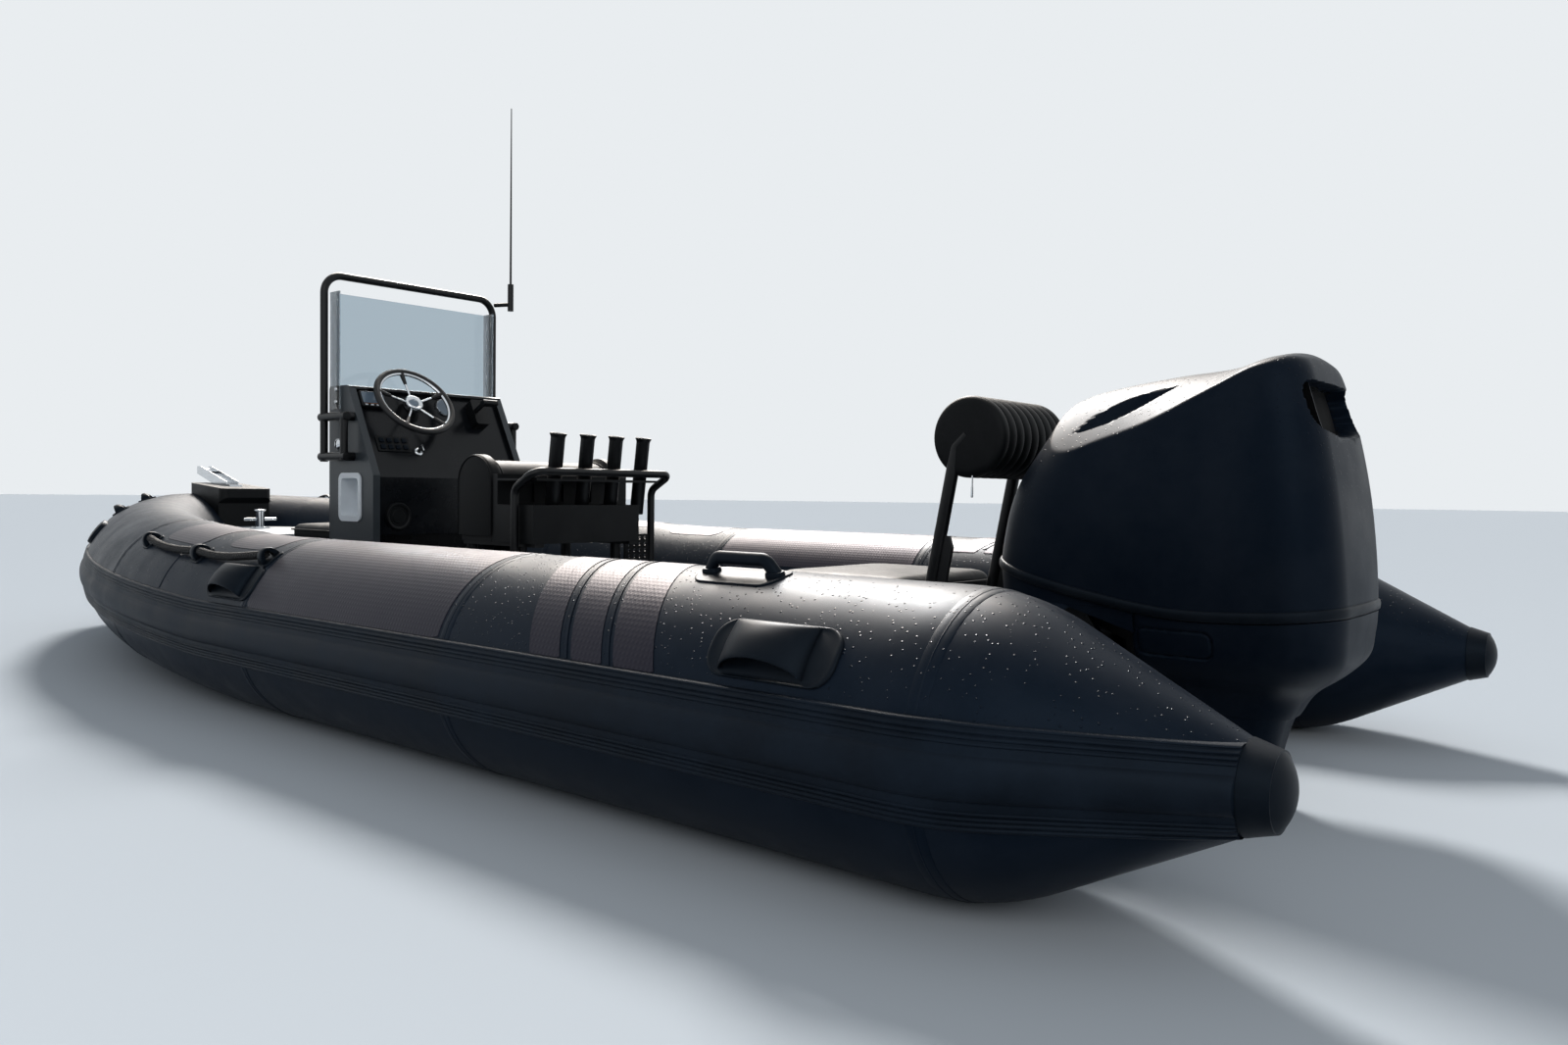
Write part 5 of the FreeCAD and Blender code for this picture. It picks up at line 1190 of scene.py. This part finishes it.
class BOAT_OT_cushions(bpy.types.Operator):
    """The cushions, the saddle and the backrest roll"""
    bl_idname = "boat.cushions"
    bl_label = "Cushions"

    def execute(self, context):
        gap = 0.006
        rise = 0.010
        # node, body, corner radius, rim radius
        for node, body, corner, edge in (("front_cushion", "boat", 0.045, 0.020),
                                         ("stern_cushion", "stern_lid", 0.055, 0.024)):
            low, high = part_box(node)
            pad = pillow((low.x + gap, low.y + gap, low.z + 0.0005),
                         (high.x - gap, high.y - gap, high.z - rise), corner, edge, crown=rise)
            made = piece(node + "_pad", [(pad, "marine_vinyl")], body, replaces=[node])
            inflate(made)
            flat = rounded_loop((high.x - low.x) / 2, (high.y - low.y) / 2, corner, 8, inset=0.004)
            flat = np.vstack([flat, flat[:1]]) + [(low.x + high.x) / 2, (low.y + high.y) / 2]
            line = np.column_stack([flat, np.full(len(flat), high.z - edge * 0.9 - rise)])
            piece(node + "_piping", [piping(line)], body)
        saddle = piece("saddle_pad", [(seat_part(), "marine_vinyl")], replaces=["seat_cushion"])
        middle = (SADDLE_AFT + SADDLE_FWD) / 2
        turn = np.linspace(0, math.pi, 31)
        arches = []
        for y, r, top in SADDLE_PIPES:
            x = np.concatenate([[middle - r], middle - r * np.cos(turn), [middle + r]])
            z = np.concatenate([[0.540], top - r + r * np.sin(turn), [0.540]])
            arches.append(piping(np.stack([x, y + 0 * x, z], -1)))
        piece("saddle_piping", arches)
        roll = piece("roll_pad", [(roll_part(), "marine_vinyl")], "stern_lid", replaces=["backrest_roll"],
                     crease=70)
        return {"FINISHED"}


# Ropes and small fittings

# port hand line's route, over its three holders: runs in metres, angles in degrees
ROPE_STOPS = ((2.07, 53.0), (2.50, 49.0), (2.95, 50.0))
ROPE_SAG = 3.0
ROPE_R = 0.012
ROPE_LIFT = 0.019               # its middle over the skin
LUGS = ((4.31, 57.0, 0.058), (4.80, 70.0, 0.045))       # run, angle, half the pad's length


def rope_route():
    """The hand line's points: each holder, and two between each pair that sag by ROPE_SAG degrees."""
    stops = []
    for (run_a, around_a), (run_b, around_b) in zip(ROPE_STOPS, ROPE_STOPS[1:]):
        for share in (0.0, 0.3, 0.7):
            sag = ROPE_SAG if share else 0.0
            stops.append((run_a + (run_b - run_a) * share, around_a + (around_b - around_a) * share - sag))
    run, around = np.array(stops + [ROPE_STOPS[-1]]).T
    return on_tube(run, np.radians(around), ROPE_LIFT)


def spline_points(route, resolution=24):
    """Points along the NURBS curve of order 3 with route as its control points, from Blender's spline."""
    data = bpy.data.curves.new("route", "CURVE")
    data.dimensions = "3D"
    data.resolution_u = resolution
    spline = data.splines.new("NURBS")
    spline.points.add(len(route) - 1)
    for point, place in zip(spline.points, route):
        point.co = (*place, 1.0)
    spline.order_u = 3
    spline.use_endpoint_u = True
    holder = bpy.data.objects.new("route", data)
    bpy.context.scene.collection.objects.link(holder)
    graph = bpy.context.evaluated_depsgraph_get()
    mesh = bpy.data.meshes.new_from_object(holder.evaluated_get(graph))
    points = read_points(mesh)
    bpy.data.objects.remove(holder)
    bpy.data.meshes.remove(mesh)
    return points


def braid(path, radius, strands=4, lay=0.052, thick=0.0046):
    """A plaited rope: strands wound both ways round the path at turn = 2 pi s / lay + 2 pi k / strands.

    Their distance from it is radius - thick +- 1.2 mm * cos(strands * turn), so they pass over and under.
    """
    gone = line_lengths(path)
    even = np.linspace(0, gone[-1], int(gone[-1] / 0.0026))
    line = np.stack([np.interp(even, gone, path[:, k]) for k in range(3)], -1)
    a, b = carried(line)
    parts = [tube_along(line[::6], radius * 0.5, 8)]
    for sense in (1, -1):
        for k in range(strands):
            turn = sense * 2 * math.pi * even / lay + 2 * math.pi * k / strands
            reach = radius - thick + sense * 0.0012 * np.cos(strands * turn)
            wound = line + reach[:, None] * (np.cos(turn)[:, None] * a + np.sin(turn)[:, None] * b)
            parts.append(tube_along(wound, thick, 6))
    return parts, gone[-1]


def holder_parts(run, around):
    """A moulded rope holder: a rounded pad, and a bridge over the rope that thickens down to its feet.

    The bridge's section is a hump of cos^0.55 across the rope, carried 25 mm along it with its ends
    rolled in.
    """
    outline = outline_at(run - 0.033, run + 0.033, around - 7.5, around + 7.5, 0.016)
    pad = tube_pad(outline, 0.0045, bead=0.001)
    across = np.linspace(-1, 1, 31)
    hump = np.cos(across * math.pi / 2) ** 0.55
    outer = np.stack([across * 0.030, 0.002 + 0.0365 * hump], -1)
    inner = np.stack([across[::-1] * 0.0155, 0.001 + 0.0318 * hump[::-1]], -1)
    loop = np.concatenate([outer, inner])
    middle = loop.mean(0)
    shift, scale = np.array([(-0.0125, 0.93), (-0.011, 1.0), (0.011, 1.0), (0.0125, 0.93)]).T
    flat = middle + (loop - middle) * scale[:, None, None]
    points = on_tube(run + shift[:, None], math.radians(around) + flat[..., 0] / TUBE_R, flat[..., 1])
    bridge = grid_part(points, loop_v=True, cap=(True, True))
    return [(pad, "moulded_rubber"), (bridge, "moulded_rubber")]


def torus(origin, axis, radius, tube, flat=1.0):
    """A ring of round section: origin + (radius + tube cos v) * (cos u, sin u) + axis * flat * tube sin v."""
    axis = np.array(axis, float) / np.linalg.norm(axis)
    a = np.cross(axis, [0, 1.0, 0])
    a /= np.linalg.norm(a)
    b = np.cross(axis, a)
    u = np.linspace(0, 2 * math.pi, 97)[:-1][:, None, None]
    v = np.linspace(0, 2 * math.pi, 21)[:-1][None, :, None]
    round_axis = (radius + tube * np.cos(v)) * (np.cos(u) * a + np.sin(u) * b)
    return grid_part(np.array(origin) + round_axis + axis * flat * tube * np.sin(v), loop_u=True, loop_v=True)


class BOAT_OT_lines(bpy.types.Operator):
    """The plaited hand lines on the tubes, their holders and the bow's lugs"""
    bl_idname = "boat.lines"
    bl_label = "Hand lines"

    def execute(self, context):
        path = spline_points(rope_route())
        for side, sign in (("port", 1), ("starboard", -1)):
            line = path * [1, sign, 1]
            strands, length = braid(line, ROPE_R)
            made = piece("hand_line_" + side, [(strand, "braided_rope") for strand in strands],
                         replaces=["grab_ropes"] if sign > 0 else (), recalculate=True)
        clips = []
        for run, around in ROPE_STOPS:
            clips += holder_parts(run, around)
        piece("rope_clips", both_sides(clips), replaces=["rope_holders"], crease=50,
              recalculate=True)
        lugs = []
        for run, around, half in LUGS:
            outline = outline_at(run - half, run + half, around - 8, around + 8, 0.03)
            lugs.append((tube_pad(outline, 0.005, bead=0.001), "moulded_rubber"))
            strap = strap_part(run, math.radians(around), half * 1.5, 0.036, 0.026, 0.007)
            lugs.append((strap, "moulded_rubber"))
        piece("bow_lugs", both_sides(lugs), crease=50)
        return {"FINISHED"}


# Helm: the dash's own frame, X up its slope, Y to port and Z outwards

DASH_UP = Vector((0.188, 0.0, 0.356)).normalized()
DASH_OUT = Vector((-DASH_UP.z, 0.0, DASH_UP.x))
CONSOLE_AFT = 2.822
DASH_RECESS = 0.018
DASH_BASE = Vector((CONSOLE_AFT, 0.0, 0.749)) - DASH_OUT * DASH_RECESS
WHEEL = np.array((2.925, 0.115, 1.052))
WHEEL_OUT = np.array((-math.cos(math.radians(38)), 0.0, math.sin(math.radians(38))))
OUT = (0, 0, 1)
PORT = (0, 1, 0)
ORIGIN = (0, 0, 0)

# where the dash's parts sit: place to port of the middle and height over the water
DISPLAY_AT, SWITCHES_AT, KEY_AT, GAUGE_AT = (0.268, 1.044), (0.225, 0.872), (0.120, 0.845), (-0.065, 1.040)

# lathe profiles, (along, radius) in metres
HUB_DISH = ((-0.020, 0.0), (-0.020, 0.034), (-0.014, 0.038), (0.006, 0.0375), (0.0115, 0.0345),
            (0.0125, 0.030), (0.0095, 0.026), (0.0060, 0.021), (0.0060, 0.0205))
HUB_CAP = ((0.0055, 0.0), (0.0055, 0.0205), (0.0085, 0.019), (0.0105, 0.012), (0.011, 0.001))
HUB_SHAFT = ((-0.046, 0.001), (-0.046, 0.011), (-0.018, 0.011), (-0.018, 0.001))
KEY_BEZEL = ((0, 0.001), (0, 0.017), (0.004, 0.017), (0.007, 0.013), (0.007, 0.001))
KEY_BARREL = ((0.006, 0.001), (0.006, 0.009), (0.016, 0.0085), (0.017, 0.001))
GAUGE_RING = ((0, 0.001), (0, 0.040), (0.006, 0.041), (0.010, 0.038), (0.008, 0.035), (0.005, 0.0345))
GAUGE_GLASS = ((0.004, 0.0), (0.004, 0.0345), (0.0065, 0.033), (0.0075, 0.001))
HATCH = ((0.0003, 0.001), (0.0003, 0.055), (0.009, 0.055), (0.014, 0.051), (0.0142, 0.045),
         (0.0115, 0.042), (0.008, 0.0405), (0.008, 0.028), (0.0105, 0.026), (0.0105, 0.001))
KNOB = ((0.0, 0.001), (0.0, 0.0145), (0.007, 0.0145), (0.008, 0.0235), (0.012, 0.0238),
        (0.017, 0.0205), (0.0205, 0.0135), (0.022, 0.001))
SCREW = ((0.0, 0.001), (0.0, 0.0085), (0.002, 0.0085), (0.0042, 0.006), (0.005, 0.001))
HOOP_CAP = ((0.0, 0.001), (0.0, 0.0165), (0.003, 0.0150), (0.0042, 0.001))
ROD_TUBE = ((0.0, 0.001), (0.0, 0.0235), (0.0015, 0.025), (0.268, 0.025), (0.274, 0.0262),
            (0.2795, 0.0294), (0.2825, 0.0299), (0.2848, 0.0288), (0.285, 0.0262), (0.283, 0.0238),
            (0.276, 0.0212), (0.262, 0.0208), (0.020, 0.0206), (0.019, 0.001))
BITT_POST = ((0.0, 0.001), (0.0, 0.0445), (0.003, 0.045), (0.0058, 0.043), (0.0065, 0.026),
             (0.009, 0.0225), (0.040, 0.0215), (0.085, 0.0195), (0.087, 0.025), (0.090, 0.0268),
             (0.0935, 0.0255), (0.095, 0.021), (0.0952, 0.001))
BITT_BAR = ((-0.080, 0.001), (-0.080, 0.0055), (-0.0775, 0.007), (0.0775, 0.007), (0.080, 0.0055),
            (0.080, 0.001))
BITT_SCREW = ((0.0055, 0.0045), (0.0075, 0.004), (0.0082, 0.001))


def on_dash(y, height):
    """The matrix that seats a part on the dash, 0.3 mm off it."""
    place = DASH_BASE + DASH_UP * ((height - DASH_BASE.z) / DASH_UP.z) + DASH_OUT * 0.0003 + Vector((0, y, 0))
    return Matrix.Translation(place) @ Matrix((DASH_UP, PORT, DASH_OUT)).transposed().to_4x4()


def block(low, high, corner, edge, look, seat=None, crown=0.0):
    """A small rounded block with its finish, carried by a matrix if there is one."""
    part = pillow(low, high, corner, edge, crown=crown)
    return part if seat is None else moved(part, seat), look


def turned(profile, look, sides, seat):
    """A turned part with its finish, its axis along Z and carried by a matrix."""
    return moved(lathe(profile, ORIGIN, OUT, sides), seat), look


def wheel_parts():
    """The wheel: a foam-covered rim with a steel inner ring, five sleeved spokes and a dished hub.

    A spoke's point is the centre plus r along its ray, set back from the rim's plane.
    """
    out = WHEEL_OUT
    hub = WHEEL - out * 0.014
    parts = [(torus(WHEEL, out, 0.160, 0.0128, 0.92), "grip_foam"),
             (torus(WHEEL - out * 0.001, out, 0.1485, 0.0068), "polished_steel")]
    up = np.cross(PORT, out)
    bare_r, bare_back = np.array([(0.028, 0.016), (0.075, 0.0105), (0.152, 0.001)]).T[..., None]
    sleeve_r = np.linspace(0.094, 0.150, 12)[:, None]
    sleeve_back = 0.0075 - 0.0065 * (sleeve_r - 0.094) / 0.056
    thickness = 0.0065 + 0.0035 * np.linspace(0, 1, 12)
    thickness[:2] = 0.003, 0.0062
    for k in range(5):
        turn = math.radians(16 + 72 * k)
        ray = np.array(PORT) * math.cos(turn) + up * math.sin(turn)
        parts.append((tube_along(WHEEL + ray * bare_r - out * bare_back, 0.0048, 12), "polished_steel"))
        parts.append((tube_along(WHEEL + ray * sleeve_r - out * sleeve_back, thickness, 14), "grip_foam"))
    parts.append((lathe(HUB_DISH, hub, out, 64), "polished_steel"))
    parts.append((lathe(HUB_CAP, hub, out, 48), "display_glass"))
    parts.append((lathe(HUB_SHAFT, hub, out, 24), "polished_steel"))
    return parts


class BOAT_OT_helm(bpy.types.Operator):
    """The wheel, the display, the dash's small parts and the side's knob"""
    bl_idname = "boat.helm"
    bl_label = "Helm"

    def execute(self, context):
        piece("wheel", wheel_parts(), "helm_wheel", replaces=["steering_wheel"], crease=50,
              recalculate=True)
        # display: a bezel, its glass, four keys and a lens strip
        seat = on_dash(*DISPLAY_AT)
        parts = [block((-0.036, -0.056, 0.0), (0.036, 0.056, 0.0215), 0.009, 0.003, "black_plastic", seat),
                 block((-0.0195, -0.0475, 0.019), (0.031, 0.0475, 0.0222), 0.003, 0.0006,
                       "display_glass", seat)]
        for k in range(4):
            y = -0.036 + 0.024 * k
            parts.append(block((-0.0305, y - 0.0065, 0.019), (-0.0245, y + 0.0065, 0.0228), 0.002, 0.0008,
                               "white_plastic", seat))
        parts.append(block((-0.0225, -0.044, 0.019), (-0.0213, 0.044, 0.0224), 0.0005, 0.0003,
                           "amber_lens", seat))
        piece("instrument", parts, replaces=["dash_display"], crease=50)
        # switch panel under the display: a plate with two rows of rockers
        seat = on_dash(*SWITCHES_AT)
        trim = [block((-0.034, -0.072, 0.0), (0.034, 0.072, 0.005), 0.006, 0.0015, "black_plastic", seat)]
        for row in (-0.015, 0.015):
            for k in range(4):
                y = -0.0495 + 0.033 * k
                trim.append(block((row - 0.010, y - 0.0105, 0.003), (row + 0.010, y + 0.0105, 0.0105),
                                  0.003, 0.002, "moulded_rubber", seat, crown=0.001))
        # key switch: a bezel, a barrel and its key's bow
        seat = on_dash(*KEY_AT)
        trim.append(turned(KEY_BEZEL, "polished_steel", 40, seat))
        trim.append(turned(KEY_BARREL, "black_plastic", 40, seat))
        trim.append(block((-0.014, -0.002, 0.016), (0.014, 0.002, 0.040), 0.0018, 0.001,
                          "polished_steel", seat))
        # compass-like gauge on the starboard half of the dash
        seat = on_dash(*GAUGE_AT)
        trim.append(turned(GAUGE_RING, "polished_steel", 56, seat))
        trim.append(turned(GAUGE_GLASS, "display_glass", 48, seat))
        piece("dash_trim", trim, crease=50, recalculate=True)
        ring = lathe(HATCH, (CONSOLE_AFT - DASH_OUT.x * DASH_RECESS, 0.245, 0.586), (-1, 0, 0), 72)
        piece("foot_hatch", [(ring, "black_plastic")], replaces=["console_hatch"],
              crease=45)
        knob = lathe(KNOB, (3.062, 0.3603, 0.870), PORT, 48)
        piece("push_knob", [(knob, "polished_steel")], replaces=["side_knob"], crease=50)
        # screws through the screen's wings, and caps on the hoop's cross tubes
        small = [(lathe(SCREW, (3.092, 0.3656, z), PORT, 24), "polished_steel") for z in (1.040, 1.090)]
        small += [(lathe(HOOP_CAP, (x, 0.400, z), (way, 0, 0), 24), "black_plastic")
                  for z in (0.820, 0.978) for x, way in ((3.144, 1), (2.946, -1))]
        piece("frame_fastenings", both_sides(small), crease=50, recalculate=True)
        return {"FINISHED"}


ROD_LEAN = math.radians(7.5)
ROD_MIDDLE, ROD_SPACING = -0.010, 0.133


class BOAT_OT_seat_details(bpy.types.Operator):
    """The rod tubes behind the seat, and the zip pull of the backrest roll"""
    bl_idname = "boat.seat_details"
    bl_label = "Seat details"

    def execute(self, context):
        way = (-math.sin(ROD_LEAN), 0.0, math.cos(ROD_LEAN))
        tubes = []
        for k in range(4):
            y = ROD_MIDDLE + (k - 1.5) * ROD_SPACING
            tubes.append((lathe(ROD_TUBE, (1.950, y, 0.612), way, 40), "powder_coat"))
        piece("rod_tubes", tubes, replaces=["rod_holders"], crease=50)
        # the pull hangs under the roll's port end, from its end panel's seam
        hang = ((0.286, 0.168, 0.752), (0.286, 0.170, 0.744), (0.286, 0.171, 0.716))
        cord = bar_part(hang, 0.0022, sides=8)
        pull = block((0.2835, 0.1685, 0.690), (0.2885, 0.1735, 0.718), 0.0015, 0.001, "polished_steel")
        piece("zip_pull", [(cord, "polished_steel"), pull], "stern_lid", recalculate=True)
        return {"FINISHED"}


BITT_X, BITT_Y, BITT_Z, BITT_BAR_Z = 4.400, 0.060, 0.490, 0.536
BITT_BOLTS = 0.035              # radius of the screws' circle


class BOAT_OT_bow_details(bpy.types.Operator):
    """The mooring bitt with its cross bar and screws"""
    bl_idname = "boat.bow_details"
    bl_label = "Bow details"

    def execute(self, context):
        parts = [lathe(BITT_POST, (BITT_X, BITT_Y, BITT_Z), OUT, 56),
                 lathe(BITT_BAR, (BITT_X, BITT_Y, BITT_BAR_Z), PORT, 24)]
        for t in (0.785, 2.356, 3.927, 5.498):
            place = (BITT_X + BITT_BOLTS * math.cos(t), BITT_Y + BITT_BOLTS * math.sin(t), BITT_Z)
            parts.append(lathe(BITT_SCREW, place, OUT, 16))
        piece("bitt", [(part, "polished_steel") for part in parts], replaces=["mooring_bitt"],
              crease=40)
        return {"FINISHED"}


FLOOR_R = 90.0
GLARE_TINT = (1.0, 0.90, 0.80)
# name, kind, place, aim, width in metres or degrees, power, lights matt surfaces too; the glare lamp
# is the bright sky beside the key, which only gloss shows
LAMPS = (("key_far", "SUN", (5.8, -4.8, 6.2), (1.0, 0.0, 0.3), 14.0, 2.8, True),
         ("glare_far", "SUN", (6.0, -4.4, 6.6), (1.0, 0.0, 0.3), 40.0, 6.0, False),
         ("fill_near", "AREA", (-4.5, 6.0, 4.5), (1.0, 0.5, 0.4), 6.0, 110.0, True))
EYE = Vector((-1.169, 2.658, 0.697))
YAW, PITCH, ROLL = (math.radians(angle) for angle in (39.86, -1.53, 0.65))
LENS_MM, SENSOR_MM = 25.65, 36.0


class BOAT_OT_stage(bpy.types.Operator):
    """Floor, soft studio light and the camera"""
    bl_idname = "boat.stage"
    bl_label = "Stage"

    def execute(self, context):
        scene = context.scene
        scene.view_settings.view_transform = "Standard"
        floor = bpy.data.meshes.new("floor")
        turn = np.linspace(0, 2 * math.pi, 96, endpoint=False)
        rim = FLOOR_R * np.stack([np.cos(turn), np.sin(turn), 0 * turn], axis=1)
        floor.from_pydata(rim.tolist(), [], [list(range(len(rim)))])
        ground = bpy.data.objects.new("floor", floor)
        scene.collection.objects.link(ground)
        matte = bpy.data.materials.new("studio_floor")
        matte.use_nodes = True
        shader = matte.node_tree.nodes["Principled BSDF"]
        shader.inputs["Base Color"].default_value = list(scene.boat_sizes.floor_colour) + [1]
        shader.inputs["Roughness"].default_value = 0.9
        shader.inputs["Specular IOR Level"].default_value = 0.0
        floor.materials.append(matte)
        world = bpy.data.worlds.new("studio")
        scene.world = world
        world.use_nodes = True
        tree = world.node_tree
        tree.nodes.clear()
        rays = add(tree, "ShaderNodeLightPath")
        seen = rays.outputs["Is Camera Ray"]
        for kind in ("Is Transmission Ray", "Is Glossy Ray"):
            either = add(tree, "ShaderNodeMath", {0: seen, 1: rays.outputs[kind]}, operation="MAXIMUM")
            seen = either.outputs[0]
        plain = add(tree, "ShaderNodeBackground", {"Color": linear("dfe8f2"), "Strength": 0.42})
        shown = add(tree, "ShaderNodeBackground", {"Color": linear("e9edf0"), "Strength": 1.0})
        mixed = add(tree, "ShaderNodeMixShader", {0: seen, 1: plain.outputs[0], 2: shown.outputs[0]})
        add(tree, "ShaderNodeOutputWorld", {"Surface": mixed.outputs[0]})
        for name, kind, place, aim, width, power, matt in LAMPS:
            lamp = bpy.data.lights.new(name, kind)
            if kind == "SUN":
                lamp.angle = math.radians(width)
            else:
                lamp.shape = "DISK"
                lamp.size = width
            lamp.energy = power
            lit = bpy.data.objects.new(name, lamp)
            scene.collection.objects.link(lit)
            lit.visible_diffuse = matt
            if not matt:
                lamp.color = GLARE_TINT
            lit.location = place
            lit.rotation_mode = "QUATERNION"
            lit.rotation_quaternion = (Vector(aim) - Vector(place)).to_track_quat("-Z", "Y")
        flat = math.cos(PITCH)
        forward = Vector((math.sin(YAW) * flat, -math.cos(YAW) * flat, math.sin(PITCH)))
        level = Vector((-math.cos(YAW), -math.sin(YAW), 0))
        upright = level.cross(forward)
        right = level * math.cos(ROLL) + upright * math.sin(ROLL)
        up = upright * math.cos(ROLL) - level * math.sin(ROLL)
        lens = bpy.data.cameras.new("camera")
        lens.sensor_width = SENSOR_MM
        lens.lens = LENS_MM
        lens.clip_end = 200.0
        camera = bpy.data.objects.new("camera", lens)
        scene.collection.objects.link(camera)
        camera.matrix_world = Matrix.Translation(EYE) @ Matrix((right, up, -forward)).transposed().to_4x4()
        scene.camera = camera
        return {"FINISHED"}


OPERATORS = [BOAT_OT_finishes, BOAT_OT_screen, BOAT_OT_tubes, BOAT_OT_strakes, BOAT_OT_layers,
             BOAT_OT_handles, BOAT_OT_engine, BOAT_OT_cushions, BOAT_OT_lines,
             BOAT_OT_helm, BOAT_OT_seat_details, BOAT_OT_bow_details, BOAT_OT_stage]


class BOAT_PT_panel(bpy.types.Panel):
    """Lists the boat's operators and sizes"""
    bl_label = "Boat"
    bl_idname = "BOAT_PT_panel"
    bl_space_type = "VIEW_3D"
    bl_region_type = "UI"
    bl_category = "Boat"

    def draw(self, context):
        for size in BoatSizes.__annotations__:
            self.layout.prop(context.scene.boat_sizes, size)
        for operator in OPERATORS:
            self.layout.operator(operator.bl_idname)


def register():
    """Registers the classes and the sizes."""
    for made in [BoatSizes, *OPERATORS, BOAT_PT_panel]:
        bpy.utils.register_class(made)
    bpy.types.Scene.boat_sizes = PointerProperty(type=BoatSizes)


def unregister():
    """Undoes register."""
    del bpy.types.Scene.boat_sizes
    for made in [BOAT_PT_panel, *reversed(OPERATORS), BoatSizes]:
        bpy.utils.unregister_class(made)


def main():
    """Builds everything in order."""
    register()
    for operator in OPERATORS:
        family, step = operator.bl_idname.split(".")
        getattr(getattr(bpy.ops, family), step)()


if __name__ == "__main__":
    main()
